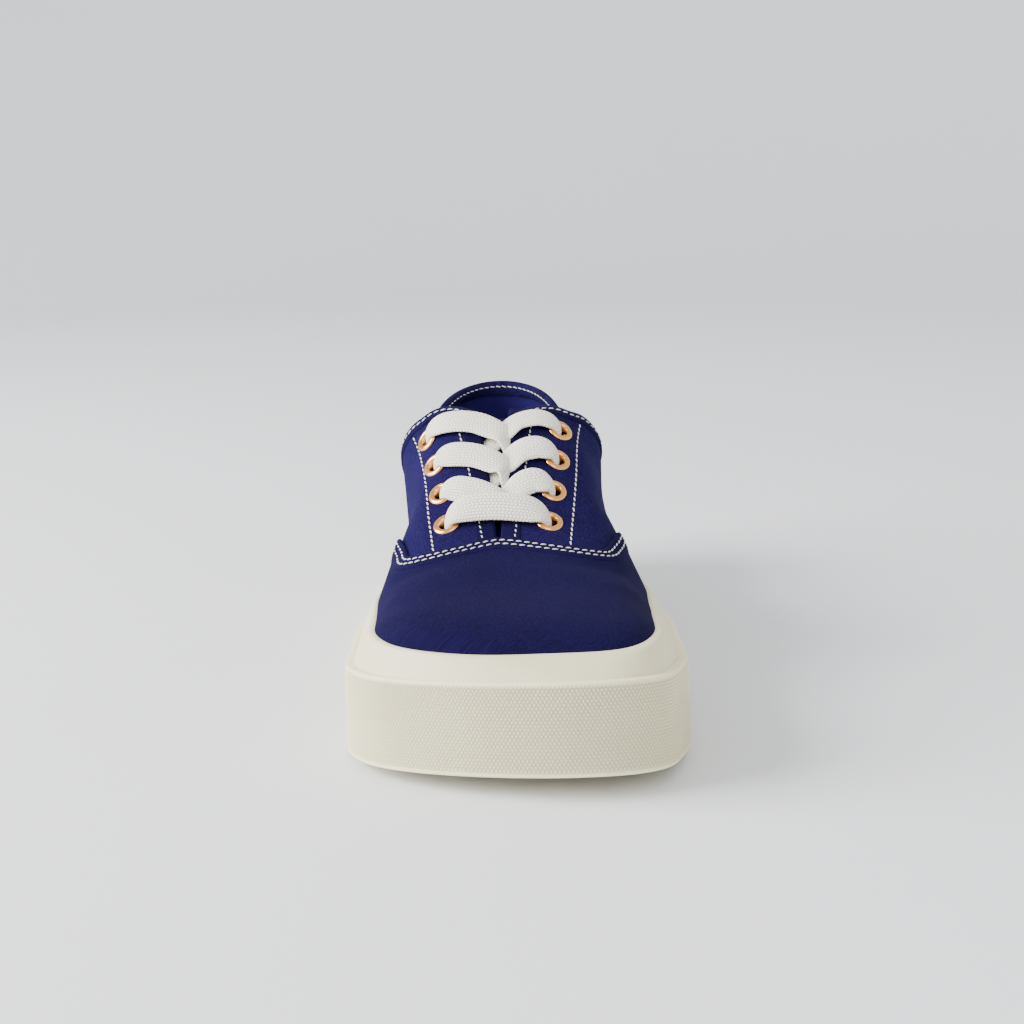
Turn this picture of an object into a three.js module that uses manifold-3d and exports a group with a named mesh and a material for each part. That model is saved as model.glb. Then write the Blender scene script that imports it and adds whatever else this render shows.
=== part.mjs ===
// Low canvas sneaker, right foot: one shoe standing empty on its sole.
// Frame: millimetres, +Z up, toe towards -Y, heel towards +Y, medial side towards +X.
// Every form comes from one last. A station d is the distance behind the toe tip.
import * as THREE from "three";
import Module from "manifold-3d";

// ---- driving sizes -------------------------------------------------------------
const LENGTH = 290; // toe strip front to heel back
const FRONT_TO_ORIGIN = 144.7; // station of the frame origin
const SIDE_TO_ORIGIN = -0.42; // sideways place of the frame origin on the last
const GAP = 0.3; // clear space between neighbouring pieces

const STRIP = { thick: 3.0, flare: 0.6, height: 29, lift: 0.3, end: 112, rake: 9 };
const FOXING = { wall: 2.7, lift: 1.0, shoulder: 24, bead: 1.7, round: 0.5 };
const SOLE = { inset: 3.0, chamfer: 1.0, arch: 1.3 };
const GROOVE = { wide: 2.2, deep: 1.6, pitch: 13 };
const UPPER = { front: 6, back: LENGTH - 4.5, inset: 3.2, wall: 2.0 };
const INSOLE = { thick: 3.0, clear: 0.6 };
const TONGUE = { thick: 2.0, clear: 2.6, front: 78, back: 156 };
const EYELET = { flange: 4.5, hole: 2.5, barrel: 2.9, rise: 0.8, roll: 0.7, wall: 2.0 };
const EYELET_ROWS = 4;
const LACE = { wide: 10, thick: 2.0, lift: 2.9 };

const TOE_PLAN = { run: 50, power: 2.05 };
const HEEL_PLAN = { run: 42, power: 2.2 };
const UPPER_TOE_PLAN = { run: 45, power: 2.25 };
const UPPER_HEEL_PLAN = { run: 40, power: 2.2 };
const TOE_BOX = { run: 28, power: 2.6 }; // how the toe box rises from the feather line
const HEEL_LEAN = { most: 6, from: 210, over: 80, base: 50, height: 45 };
const SPRING = { toe: 7, toeRun: 85, heel: 2, heelRun: 22 };

// ---- short tables, one row per section -----------------------------------------
// Plan of the foxing: middle line and half width.
const PLAN = table(["d", "middle", "half"], [
  [0, 18.0, 50.2],
  [8, 12.0, 50.2],
  [20, 4.6, 50.2],
  [40, 0.2, 50.4],
  [65, -0.4, 50.7],
  [98, -0.6, 49.6],
  [112, -0.7, 46.8],
  [125, -0.9, 42.9],
  [140, -1.6, 39.9],
  [160, -2.8, 38.7],
  [205, -4.3, 39.0],
  [250, -4.5, 38.3],
  [290, -4.0, 38.0],
]);
// Sections of the upper: crest over the feather line, crest beside the middle, fullness.
const SECTIONS = table(["d", "rise", "aside", "power"], [
  [0, 22.5, 0.0, 4.2],
  [15, 23.5, 0.0, 4.0],
  [35, 27.0, -1.0, 3.6],
  [60, 31.0, -3.0, 3.1],
  [88, 37.0, -4.2, 2.7],
  [103, 43.5, -4.2, 2.65],
  [125, 57.0, -3.8, 2.9],
  [147, 69.5, -3.4, 3.7],
  [165, 74.5, -2.6, 4.6],
  [185, 78.0, -1.0, 3.4],
  [220, 77.0, 0.0, 2.4],
  [290, 73.0, 0.0, 2.2],
]);
// Top edge of the foxing.
const FOXING_TOP = table(["d", "z"], [
  [0, 41.5],
  [15, 41.5],
  [30, 41.0],
  [60, 40.0],
  [100, 38.5],
  [150, 38.0],
  [200, 38.5],
  [250, 39.5],
  [290, 41.0],
]);
// Collar edge seen from the side.
const COLLAR = table(["d", "z"], [
  [156, 95.0],
  [158.7, 90.5],
  [162.7, 84.0],
  [168, 76.5],
  [175.5, 69.5],
  [188, 63.5],
  [203, 61.5],
  [220, 64.0],
  [240, 71.5],
  [262, 80.5],
  [290, 86.5],
]);
// Opening between the two facings, and how far the eyelets stand from its middle.
const THROAT = table(["d", "half", "eyelet"], [
  [88, 1.0, 15.9],
  [103, 1.8, 17.7],
  [147, 5.8, 24.1],
  [160, 6.6, 26.0],
]);
const TONGUE_HALF = table(["d", "half"], [
  [78, 15],
  [103, 20],
  [130, 22.5],
  [156, 22],
]);
const EYELET_LINE = { lateral: [101.5, 146.3], medial: [100.2, 142.7] };
// The collar front stands out sideways from the waist below it.
const FLARE = { most: 3.4, middle: 165, reach: 16 };

// ---- sums ----------------------------------------------------------------------
function table(columns, rows) {
  return { columns, rows };
}

function clamp(value, low, high) {
  return Math.min(high, Math.max(low, value));
}

// A smooth curve through one named column of a table at station d.
function at(source, d, column) {
  const k = source.columns.indexOf(column);
  const xs = source.rows.map((row) => row[0]);
  const ys = source.rows.map((row) => row[k]);
  const last = xs.length - 1;
  const x = clamp(d, xs[0], xs[last]);
  const slope = (i) => (ys[i + 1] - ys[i]) / (xs[i + 1] - xs[i]);
  const tangent = (i) => {
    if (i === 0) return slope(0);
    if (i === last) return slope(last - 1);
    const before = xs[i] - xs[i - 1];
    const after = xs[i + 1] - xs[i];
    return (slope(i - 1) * after + slope(i) * before) / (before + after);
  };
  let i = 0;
  while (i < last - 1 && x >= xs[i + 1]) i += 1;
  const h = xs[i + 1] - xs[i];
  const t = (x - xs[i]) / h;
  const a = 2 * t ** 3 - 3 * t ** 2 + 1;
  const b = t ** 3 - 2 * t ** 2 + t;
  const c = -2 * t ** 3 + 3 * t ** 2;
  const e = t ** 3 - t ** 2;
  return a * ys[i] + b * h * tangent(i) + c * ys[i + 1] + e * h * tangent(i + 1);
}

// 0 at an end of the shoe, 1 past its rounded run.
function closing(distance, round) {
  const a = clamp(1 - distance / round.run, 0, 1);
  return (1 - a ** round.power) ** (1 / round.power);
}

function spring(d) {
  const toe = clamp(1 - (d - STRIP.thick) / SPRING.toeRun, 0, 1.1);
  const heel = clamp((d - (LENGTH - SPRING.heelRun)) / SPRING.heelRun, 0, 1);
  return SPRING.toe * toe ** 2 + SPRING.heel * heel ** 2;
}

function feather(d) {
  return spring(d) * 0.6 + 20 + 4 * clamp((d - 60) / 180, 0, 1);
}

function archRise(d) {
  const t = clamp((d - 138) / 54, 0, 1);
  return SOLE.arch * Math.sin(Math.PI * t) ** 2;
}

// Half width of the foxing plan, grown sideways and endways by grow.
function planHalf(d, grow) {
  const toe = closing(d - (STRIP.thick - grow), TOE_PLAN);
  const heel = closing(LENGTH + grow - d, HEEL_PLAN);
  return (at(PLAN, d, "half") + grow) * toe * heel;
}

// One section of the upper, grown by grow (negative for the lining side).
function section(d, grow) {
  const toe = closing(d - (UPPER.front - grow), UPPER_TOE_PLAN);
  const heel = closing(UPPER.back + grow - d, UPPER_HEEL_PLAN);
  const half = (at(PLAN, d, "half") - UPPER.inset + grow) * toe * heel;
  const box = closing(d - (UPPER.front - grow), TOE_BOX);
  const aside = at(SECTIONS, d, "aside") * Math.min(1, half / 30);
  return {
    crest: at(PLAN, d, "middle") + aside,
    inner: Math.max(half - aside, 0.15),
    outer: Math.max(half + aside, 0.15),
    rise: Math.max((at(SECTIONS, d, "rise") + grow) * box, 0.3),
    power: at(SECTIONS, d, "power"),
  };
}

function heelLean(d, z) {
  const high = clamp((z - HEEL_LEAN.base) / HEEL_LEAN.height, 0, 1.2);
  return HEEL_LEAN.most * high ** 2 * clamp((d - HEEL_LEAN.from) / HEEL_LEAN.over, 0, 1);
}

// Sideways swelling where the section has turned up by w, from 0 at the feather to 1.
function flare(d, w) {
  const bell = Math.exp(-(((d - FLARE.middle) / FLARE.reach) ** 2));
  return FLARE.most * bell * (4 * w * (1 - w)) ** 2;
}

function place(x, d, z) {
  return [x - SIDE_TO_ORIGIN, d - FRONT_TO_ORIGIN, z];
}

// Point of the grown upper at turn v: 0 at the medial feather, pi at the lateral one.
function upperPoint(d, v, grow) {
  const s = section(d, grow);
  const c = Math.cos(v);
  const w = Math.abs(Math.sin(v));
  const reach = c >= 0 ? s.inner : s.outer;
  const swell = Math.sign(c) * flare(d, w);
  const x = s.crest + reach * Math.sign(c) * Math.abs(c) ** (2 / s.power) + swell;
  const z = feather(d) + s.rise * w ** (2 / s.power);
  return place(x, d - heelLean(d, z), z);
}

// Point of the grown upper at a sideways distance from the crest.
function upperAside(d, aside, grow) {
  const s = section(d, grow);
  const reach = aside >= 0 ? s.inner : s.outer;
  const t = clamp(Math.abs(aside) / reach, 0, 1);
  const z = feather(d) + s.rise * (1 - t ** s.power) ** (1 / s.power);
  return place(s.crest + aside, d - heelLean(d, z), z);
}

// Sideways places where the grown upper crosses height z.
function upperCrossing(d, z, grow) {
  const s = section(d, grow);
  const t = clamp((z - feather(d)) / s.rise, 0, 1);
  const k = (1 - t ** s.power) ** (1 / s.power);
  return { medial: s.crest + s.inner * k, lateral: s.crest - s.outer * k };
}

// Outward direction of the upper at a sideways distance from the crest.
function upperNormal(d, aside) {
  const p = new THREE.Vector3(...upperAside(d, aside, 0));
  const alongLength = new THREE.Vector3(...upperAside(d + 1, aside, 0)).sub(p);
  const across = new THREE.Vector3(...upperAside(d, aside + 1, 0)).sub(p);
  return across.cross(alongLength).normalize();
}

// ---- solids --------------------------------------------------------------------
const wasm = await Module();
wasm.setup();

function solid(points, faces) {
  const vertProperties = new Float32Array(points.flat());
  const triVerts = new Uint32Array(faces.flat());
  const mesh = new wasm.Mesh({ numProp: 3, vertProperties, triVerts });
  mesh.merge();
  return new wasm.Manifold(mesh);
}

// A closed body from rings of equal length; each end is closed by a ladder of faces.
function loft(rings) {
  const count = rings[0].length;
  const points = rings.flat();
  const faces = [];
  for (let r = 0; r < rings.length - 1; r += 1) {
    for (let i = 0; i < count; i += 1) {
      const j = (i + 1) % count;
      const a = r * count + i;
      const b = r * count + j;
      faces.push([a, b, b + count], [a, b + count, a + count]);
    }
  }
  const top = (rings.length - 1) * count;
  for (let i = 0; i < count / 2 - 1; i += 1) {
    const a = i;
    const b = i + 1;
    const c = count - 2 - i;
    const e = count - 1 - i;
    faces.push([a, c, b], [a, e, c]);
    faces.push([top + a, top + b, top + c], [top + a, top + c, top + e]);
  }
  const made = solid(points, faces);
  return made.volume() < 0 ? solid(points, faces.map(([a, b, c]) => [a, c, b])) : made;
}

// Stations from front to back, close together at both rounded ends.
function stations(count, front, back) {
  const list = [];
  for (let i = 0; i <= count; i += 1) {
    const u = (1 - Math.cos((Math.PI * i) / count)) / 2;
    list.push(front + (back - front) * u);
  }
  return list;
}

// A flat ring round the shoe: medial side toe to heel, then lateral side back again.
function planRing(count, front, back, sides, height) {
  const ds = stations(count, front, back);
  const medial = ds.map((d) => place(sides(d).medial, d, height(d)));
  const lateral = ds.map((d) => place(sides(d).lateral, d, height(d))).reverse();
  return medial.concat(lateral);
}

function outlineRing(count, grow, height) {
  const thin = 0.08;
  const sides = (d) => {
    const half = Math.max(planHalf(d, grow), thin);
    const middle = at(PLAN, d, "middle");
    return { medial: middle + half, lateral: middle - half };
  };
  return planRing(count, STRIP.thick - grow, LENGTH + grow, sides, height);
}

function upperBody(count, turns, grow, drop) {
  const rings = stations(count, UPPER.front - grow, UPPER.back + grow).map((d) => {
    const ring = [];
    for (let i = 0; i <= turns; i += 1) ring.push(upperPoint(d, (Math.PI * i) / turns, grow));
    const first = ring[0];
    const last = ring[turns];
    if (drop > 0) {
      ring.push([last[0], last[1], last[2] - drop]);
      ring.push([first[0], first[1], first[2] - drop]);
    }
    return ring;
  });
  return loft(rings);
}

function boxBody(x0, x1, d0, d1, z0, z1) {
  const a = place(x0, d0, z0);
  const size = [x1 - x0, d1 - d0, z1 - z0];
  return wasm.Manifold.cube(size, false).translate(a);
}

// A prism whose outline is drawn in station and height, running right across the shoe.
function sidePrism(profile) {
  const ring = (x) => profile.map(([d, z]) => place(x, d, z));
  const shape = new THREE.Shape(profile.map(([d, z]) => new THREE.Vector2(d, z)));
  const flat = new THREE.ShapeGeometry(shape);
  const count = profile.length;
  const index = Array.from(flat.index.array);
  const faces = [];
  for (let i = 0; i < index.length; i += 3) {
    const [a, b, c] = [index[i], index[i + 1], index[i + 2]];
    faces.push([a, c, b], [a + count, b + count, c + count]);
  }
  const order = matchOrder(flat, profile);
  const mapped = faces.map((face) => face.map((k) => mapIndex(k, order, count)));
  for (let i = 0; i < count; i += 1) {
    const j = (i + 1) % count;
    mapped.push([i, j, j + count], [i, j + count, i + count]);
  }
  const points = ring(-80).concat(ring(80));
  const body = trySolid(points, mapped);
  return body;
}

function matchOrder(flat, profile) {
  const p = flat.attributes.position;
  const order = [];
  for (let i = 0; i < p.count; i += 1) {
    const hit = profile.findIndex(
      ([d, z]) => Math.abs(p.getX(i) - d) < 1e-3 && Math.abs(p.getY(i) - z) < 1e-3,
    );
    order.push(hit);
  }
  return order;
}

function mapIndex(k, order, count) {
  return k < count ? order[k] : order[k - count] + count;
}

function trySolid(points, faces) {
  const made = solid(points, faces);
  return made.volume() < 0 ? solid(points, faces.map(([a, b, c]) => [a, c, b])) : made;
}

// ---- the pieces ----------------------------------------------------------------
const COUNT = 30;
const TURNS = 26;

function soleBody() {
  const bottom = (d) => spring(d) + archRise(d);
  const rings = [
    outlineRing(COUNT, -SOLE.inset - SOLE.chamfer, bottom),
    outlineRing(COUNT, -SOLE.inset, (d) => bottom(d) + SOLE.chamfer),
    outlineRing(COUNT, -SOLE.inset, (d) => feather(d) - GAP),
  ];
  let body = loft(rings);
  for (const [from, to] of [[92, 136], [198, 262]]) {
    for (let d = from; d < to; d += GROOVE.pitch) {
      const cut = boxBody(-80, 80, d, d + GROOVE.wide, -5, GROOVE.deep);
      body = body.subtract(cut);
    }
  }
  return body;
}

function foxingOuter(grow) {
  const top = (d) => at(FOXING_TOP, d, "z");
  const rim = FOXING.bead + grow;
  const sides = (d) => {
    const cross = upperCrossing(d, top(d), rim);
    return cross;
  };
  const meets = (d) => feather(d) + section(d, rim).rise - top(d);
  let front = UPPER.front - rim + 0.01;
  while (meets(front) < 0) front += 0.05;
  return [
    outlineRing(COUNT, grow - FOXING.round, (d) => spring(d) + FOXING.lift),
    outlineRing(COUNT, grow, (d) => spring(d) + FOXING.lift + 1.2),
    outlineRing(COUNT, grow, (d) => spring(d) + FOXING.shoulder),
    outlineRing(COUNT, grow - 0.8, (d) => spring(d) + STRIP.height - 0.5),
    planRing(COUNT, front, UPPER.back + rim - 0.1, sides, top),
  ];
}

function plug(grow, low, high) {
  return loft([outlineRing(COUNT, grow, () => low), outlineRing(COUNT, grow, () => high)]);
}

function foxingBody() {
  const outside = loft(foxingOuter(0));
  const belowFeather = loft([
    outlineRing(COUNT, -FOXING.wall, () => -6),
    outlineRing(COUNT, -FOXING.wall, (d) => feather(d) + 1.0),
  ]);
  return outside.subtract(belowFeather).subtract(upperBody(COUNT + 4, TURNS, GAP, 3));
}

function stripBody() {
  const outside = loft([
    outlineRing(COUNT, STRIP.thick + STRIP.flare, (d) => spring(d) + STRIP.lift),
    outlineRing(COUNT, STRIP.thick, (d) => spring(d) + STRIP.height),
  ]);
  const behind = sidePrism([
    [STRIP.end, -10],
    [LENGTH + 20, -10],
    [LENGTH + 20, 60],
    [STRIP.end - STRIP.rake, 60],
  ]);
  return outside.subtract(plug(GAP, -8, 60)).subtract(behind);
}

function collarCutter() {
  const profile = [[COLLAR.rows[0][0], 130]];
  for (let d = COLLAR.rows[0][0]; d <= LENGTH; d += 3) profile.push([d, at(COLLAR, d, "z")]);
  profile.push([LENGTH + 15, at(COLLAR, LENGTH, "z")], [LENGTH + 15, 130]);
  return sidePrism(profile);
}

function throatCutter() {
  const ds = [];
  for (let d = THROAT.rows[0][0]; d <= 170; d += 6) ds.push(d);
  const ring = (z) => {
    const right = ds.map((d) => place(section(d, 0).crest + at(THROAT, d, "half"), d, z));
    const left = ds.map((d) => place(section(d, 0).crest - at(THROAT, d, "half"), d, z));
    return right.concat(left.reverse());
  };
  return loft([ring(45), ring(130)]);
}

function eyeletPlaces() {
  const list = [];
  for (let row = 0; row < EYELET_ROWS; row += 1) {
    for (const side of [-1, 1]) {
      const [first, last] = side > 0 ? EYELET_LINE.medial : EYELET_LINE.lateral;
      const d = first + ((last - first) * row) / (EYELET_ROWS - 1);
      const aside = side * at(THROAT, d, "eyelet");
      const centre = new THREE.Vector3(...upperAside(d, aside, 0));
      list.push({ row: row + 1, side, d, aside, centre, normal: upperNormal(d, aside) });
    }
  }
  return list;
}

// Turns a body whose axis is +Z to stand on the upper at an eyelet.
function onUpper(body, spot) {
  const turn = new THREE.Quaternion();
  turn.setFromUnitVectors(new THREE.Vector3(0, 0, 1), spot.normal);
  const matrix = new THREE.Matrix4().makeRotationFromQuaternion(turn).setPosition(spot.centre);
  return body.transform(matrix.elements);
}

function upperPiece(spots) {
  const outside = upperBody(COUNT + 4, TURNS, 0, 0);
  const inside = upperBody(COUNT + 4, TURNS, -UPPER.wall, 4);
  let body = outside.subtract(inside).subtract(collarCutter()).subtract(throatCutter());
  for (const spot of spots) {
    const drill = wasm.Manifold.cylinder(12, EYELET.barrel + GAP, -1, 20, true);
    body = body.subtract(onUpper(drill, spot));
  }
  return body;
}

function eyeletPiece(spot) {
  const under = -EYELET.wall - GAP;
  const profile = [
    [EYELET.hole, under - EYELET.roll],
    [EYELET.barrel, under - EYELET.roll],
    [EYELET.barrel, GAP],
    [EYELET.flange, GAP],
    [EYELET.flange - 0.3, GAP + EYELET.rise * 0.75],
    [EYELET.barrel + 0.7, GAP + EYELET.rise],
    [EYELET.hole, GAP + EYELET.rise * 0.6],
  ];
  const half = new wasm.CrossSection([profile]);
  return onUpper(wasm.Manifold.revolve(half, 20), spot);
}

// A slab lying over the upper between two growths, from rows of sideways places.
function slab(ds, spread, low, high) {
  const cols = 12;
  const rings = ds.map((d) => {
    const { from, to } = spread(d);
    const over = [];
    const under = [];
    for (let i = 0; i <= cols; i += 1) {
      const aside = from + ((to - from) * i) / cols;
      over.push(upperAside(d, aside, high));
      under.push(upperAside(d, aside, low));
    }
    return over.concat(under.reverse());
  });
  return loft(rings);
}

function tongueBody() {
  const ds = [];
  for (let d = TONGUE.front; d <= TONGUE.back + 0.01; d += 6) ds.push(d);
  const high = -UPPER.wall - TONGUE.clear;
  const spread = (d) => {
    const half = at(TONGUE_HALF, d, "half");
    return { from: -half, to: half };
  };
  return slab(ds, spread, high - TONGUE.thick, high);
}

function insoleBody() {
  const grow = -UPPER.wall - INSOLE.clear;
  const sides = (d) => {
    const s = section(d, grow);
    return { medial: s.crest + s.inner, lateral: s.crest - s.outer };
  };
  const ring = (lift, shrink) => {
    const shrunk = (d) => {
      const { medial, lateral } = sides(d);
      const less = Math.min(shrink, (medial - lateral) / 2 - 0.1);
      return { medial: medial - less, lateral: lateral + less };
    };
    const front = UPPER.front - grow + 0.2;
    const back = UPPER.back + grow - 0.2;
    return planRing(COUNT, front, back, shrunk, (d) => feather(d) + lift);
  };
  return loft([ring(0, 0.3), ring(INSOLE.thick, 0.6)]);
}

// One flat run of lace from one place over the upper to another.
function laceRun(from, to) {
  const steps = 10;
  const rings = [];
  for (let i = 0; i <= steps; i += 1) {
    const u = i / steps;
    const d = from.d + (to.d - from.d) * u;
    const aside = from.aside + (to.aside - from.aside) * u;
    const low = LACE.lift - LACE.thick / 2;
    const high = LACE.lift + LACE.thick / 2;
    const edge = LACE.wide / 2;
    const ring = [];
    for (const [dd, grow] of [
      [-edge, low],
      [edge, low],
      [edge, high],
      [-edge, high],
    ]) {
      ring.push(upperAside(d + dd * 0.88, aside, grow));
    }
    rings.push(ring);
  }
  return loft(rings);
}

function laceBody(spots) {
  let body = null;
  for (let row = 1; row <= EYELET_ROWS; row += 1) {
    const [left, right] = spots.filter((s) => s.row === row);
    const inset = 1.0;
    const a = { d: left.d, aside: left.aside + inset };
    const b = { d: right.d, aside: right.aside - inset };
    const runs =
      row === 1
        ? [laceRun(a, b)]
        : [laceRun(a, { d: left.d - 16, aside: 4 }), laceRun(b, { d: right.d - 8, aside: -2 })];
    for (const run of runs) body = body ? body.add(run) : run;
  }
  return body;
}

// ---- the part ------------------------------------------------------------------
const part = new THREE.Group();

function add(name, body, color, roughness, metalness) {
  const made = body.getMesh();
  const stride = made.numProp;
  const positions = new Float32Array(made.numVert * 3);
  for (let i = 0; i < made.numVert; i += 1) {
    positions.set(made.vertProperties.subarray(i * stride, i * stride + 3), i * 3);
  }
  const geometry = new THREE.BufferGeometry();
  geometry.setAttribute("position", new THREE.BufferAttribute(positions, 3));
  geometry.setIndex(new THREE.BufferAttribute(made.triVerts, 1));
  geometry.computeVertexNormals();
  const material = new THREE.MeshStandardMaterial({ color, roughness, metalness });
  const mesh = new THREE.Mesh(geometry, material);
  mesh.name = name;
  part.add(mesh);
}

const spots = eyeletPlaces();
add("sole", soleBody(), 0xd8d2be, 0.8, 0);
add("foxing", foxingBody(), 0xe6e2d2, 0.6, 0);
add("toe_strip", stripBody(), 0xe6e2d2, 0.65, 0);
add("upper", upperPiece(spots), 0x26235c, 0.95, 0);
add("tongue", tongueBody(), 0x221f52, 0.95, 0);
add("insole", insoleBody(), 0x2a2860, 0.95, 0);
add("lace", laceBody(spots), 0xe2e2d8, 0.9, 0);
for (const spot of spots) {
  const side = spot.side > 0 ? "medial" : "lateral";
  add("eyelet_" + side + "_" + spot.row, eyeletPiece(spot), 0xd9b08c, 0.3, 1);
}

export default part;
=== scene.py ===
"""A low canvas sneaker on a pale studio floor, built piece by piece from one last.

All sizes are in millimetres on the last and are turned into metres when a mesh is made. A station is
the distance behind the toe tip. A turn goes over a section of the upper: 0 at the medial feather
line, a half turn at the lateral one, with the crest in between.
"""

from __future__ import annotations

import logging
import math
from dataclasses import dataclass, field
from enum import Enum
from typing import Callable, Sequence

import bmesh
import bpy
import numpy as np
from mathutils import Matrix

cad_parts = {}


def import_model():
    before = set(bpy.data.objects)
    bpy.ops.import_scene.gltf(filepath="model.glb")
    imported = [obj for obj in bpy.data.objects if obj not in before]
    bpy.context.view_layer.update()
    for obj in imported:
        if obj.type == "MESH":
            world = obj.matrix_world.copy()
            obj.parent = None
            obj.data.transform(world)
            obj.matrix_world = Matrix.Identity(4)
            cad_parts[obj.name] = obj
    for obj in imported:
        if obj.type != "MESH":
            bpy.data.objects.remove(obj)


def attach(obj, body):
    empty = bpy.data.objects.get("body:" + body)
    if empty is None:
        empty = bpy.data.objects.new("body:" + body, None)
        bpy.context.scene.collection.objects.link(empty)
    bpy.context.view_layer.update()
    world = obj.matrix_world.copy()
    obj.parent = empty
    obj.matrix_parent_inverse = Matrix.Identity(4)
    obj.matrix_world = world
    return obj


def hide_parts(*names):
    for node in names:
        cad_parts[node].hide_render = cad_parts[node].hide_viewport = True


LOG = logging.getLogger("sneaker")
Array = np.ndarray
BODY = "root"


class Side(Enum):
    """The two sides of the shoe; the value is the sign of X."""

    MEDIAL = 1
    LATERAL = -1


class Slot(Enum):
    """Names of the material slots."""

    SOLE = "sole_rubber"
    FOXING = "foxing_rubber"
    STRIP = "strip_rubber"
    CANVAS = "canvas"
    TONGUE = "tongue_canvas"
    INSOLE = "insole_cloth"
    LACE = "lace_cotton"
    EYELET = "eyelet_metal"


# ---------------------------------------------------------------------------------- tables
@dataclass(frozen=True)
class Table:
    """A short table with named columns, read as smooth curves over its first column."""

    columns: tuple[str, ...]
    rows: tuple[tuple[float, ...], ...]

    def at(self, x: Array | float, column: str) -> Array:
        """A cubic through the rows whose slope at a row is the mean of its neighbours' slopes.

        Args:
            x: places along the first column; past either end the end row holds.
            column: the column to read.

        Returns:
            The column's values at x.
        """
        data = np.array(self.rows, float)
        xs, ys = data[:, 0], data[:, self.columns.index(column)]
        gaps = np.diff(xs)
        slopes = np.diff(ys) / gaps
        tangents = np.empty(len(xs))
        tangents[0], tangents[-1] = slopes[0], slopes[-1]
        weight = gaps[1:] + gaps[:-1]
        tangents[1:-1] = (slopes[:-1] * gaps[1:] + slopes[1:] * gaps[:-1]) / weight
        x = np.clip(np.asarray(x, float), xs[0], xs[-1])
        i = np.clip(np.searchsorted(xs, x, side="right") - 1, 0, len(xs) - 2)
        h = gaps[i]
        t = (x - xs[i]) / h
        value = (2 * t**3 - 3 * t**2 + 1) * ys[i] + (t**3 - 2 * t**2 + t) * h * tangents[i]
        return value + (3 * t**2 - 2 * t**3) * ys[i + 1] + (t**3 - t**2) * h * tangents[i + 1]


PLAN = Table(
    ("d", "middle", "half"),
    (
        (0, 18.0, 50.2), (8, 12.0, 50.2), (20, 4.6, 50.2), (40, 0.2, 50.4), (65, -0.4, 50.7),
        (98, -0.6, 49.6), (112, -0.7, 46.8), (125, -0.9, 42.9), (140, -1.6, 39.9),
        (160, -2.8, 38.7), (205, -4.3, 39.0), (250, -4.5, 38.3), (290, -4.0, 38.0),
    ),
)
SECTIONS = Table(
    ("d", "rise", "aside", "power"),
    (
        (0, 22.5, 0.0, 4.2), (15, 23.5, 0.0, 4.0), (35, 27.0, -1.0, 3.6), (60, 31.0, -3.0, 3.1),
        (88, 37.0, -4.2, 2.7), (103, 43.5, -4.2, 2.65), (125, 57.0, -3.8, 2.9),
        (147, 69.5, -3.4, 3.7), (165, 74.5, -2.6, 4.6), (185, 78.0, -1.0, 3.4),
        (220, 77.0, 0.0, 2.4), (290, 73.0, 0.0, 2.2),
    ),
)
FOXING_TOP = Table(
    ("d", "z"),
    (
        (0, 41.5), (15, 41.5), (30, 41.0), (60, 40.0), (100, 38.5), (150, 38.0), (200, 38.5),
        (250, 39.5), (290, 41.0),
    ),
)
COLLAR = Table(
    ("d", "z"),
    (
        (156, 95.0), (158.7, 90.5), (162.7, 84.0), (168, 76.5), (175.5, 69.5), (188, 63.5),
        (203, 61.5), (220, 64.0), (240, 71.5), (262, 80.5), (290, 86.5),
    ),
)
THROAT = Table(
    ("d", "half", "eyelet"),
    ((88, 1.0, 15.9), (103, 1.8, 17.7), (147, 5.8, 24.1), (160, 6.6, 26.0)),
)
THROAT_FOOT = 88.0  # station where the throat begins
TONGUE_HALF = Table(("d", "half"), ((78, 15), (103, 20), (130, 22.5), (156, 22)))
# Rear edge of the vamp on each side, from the crest down to the feather line (turn in degrees).
VAMP_EDGE = {
    Side.MEDIAL: Table(
        ("d", "turn"),
        ((91, 90), (88, 78), (88, 65), (92, 54), (101, 46), (110, 39), (117, 28), (128, 18), (139, 5)),
    ),
    Side.LATERAL: Table(
        ("d", "turn"),
        (
            (91, 90), (88, 102), (88, 115), (93, 128), (103, 135), (112, 143), (117, 156), (130, 166),
            (138, 175),
        ),
    ),
}


@dataclass(frozen=True)
class Soft:
    """A soft trough or ridge laid on the canvas: a long bump with faded ends.

    The heading is measured from the line that goes straight over the shoe.
    """

    d: float
    turn: float
    heading: float
    length: float
    width: float
    height: float


CREASES = (
    Soft(79, 122, 10, 34, 4.5, -0.60),
    Soft(77, 62, -12, 34, 5.0, -0.55),
    Soft(72, 92, 3, 50, 9.0, 0.45),
    Soft(64, 52, -22, 26, 6.0, 0.35),
    Soft(62, 128, 20, 26, 6.0, 0.30),
    Soft(97, 44, -35, 26, 4.0, -0.55),
    Soft(99, 137, 34, 28, 4.0, -0.55),
    Soft(117, 128, 58, 36, 5.5, 0.55),
    Soft(118, 52, -60, 36, 5.5, 0.50),
    Soft(128, 36, -20, 30, 6.0, -0.50),
    Soft(130, 146, 24, 30, 6.0, -0.50),
    Soft(152, 30, -25, 34, 6.0, -0.60),
    Soft(154, 150, 28, 34, 6.0, -0.60),
    Soft(196, 24, -6, 40, 9.0, 0.60),
    Soft(194, 156, 6, 40, 9.0, 0.60),
    Soft(236, 28, -70, 44, 8.0, -0.80),
    Soft(236, 152, 70, 44, 8.0, -0.80),
    Soft(40, 112, 16, 34, 9.0, 0.35),
    Soft(34, 66, -14, 30, 8.0, -0.30),
)
QUARTER_TURN = math.pi / 2
DEGREE = 0.9  # millimetres over the upper to one degree of turn, near enough for creases


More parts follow.
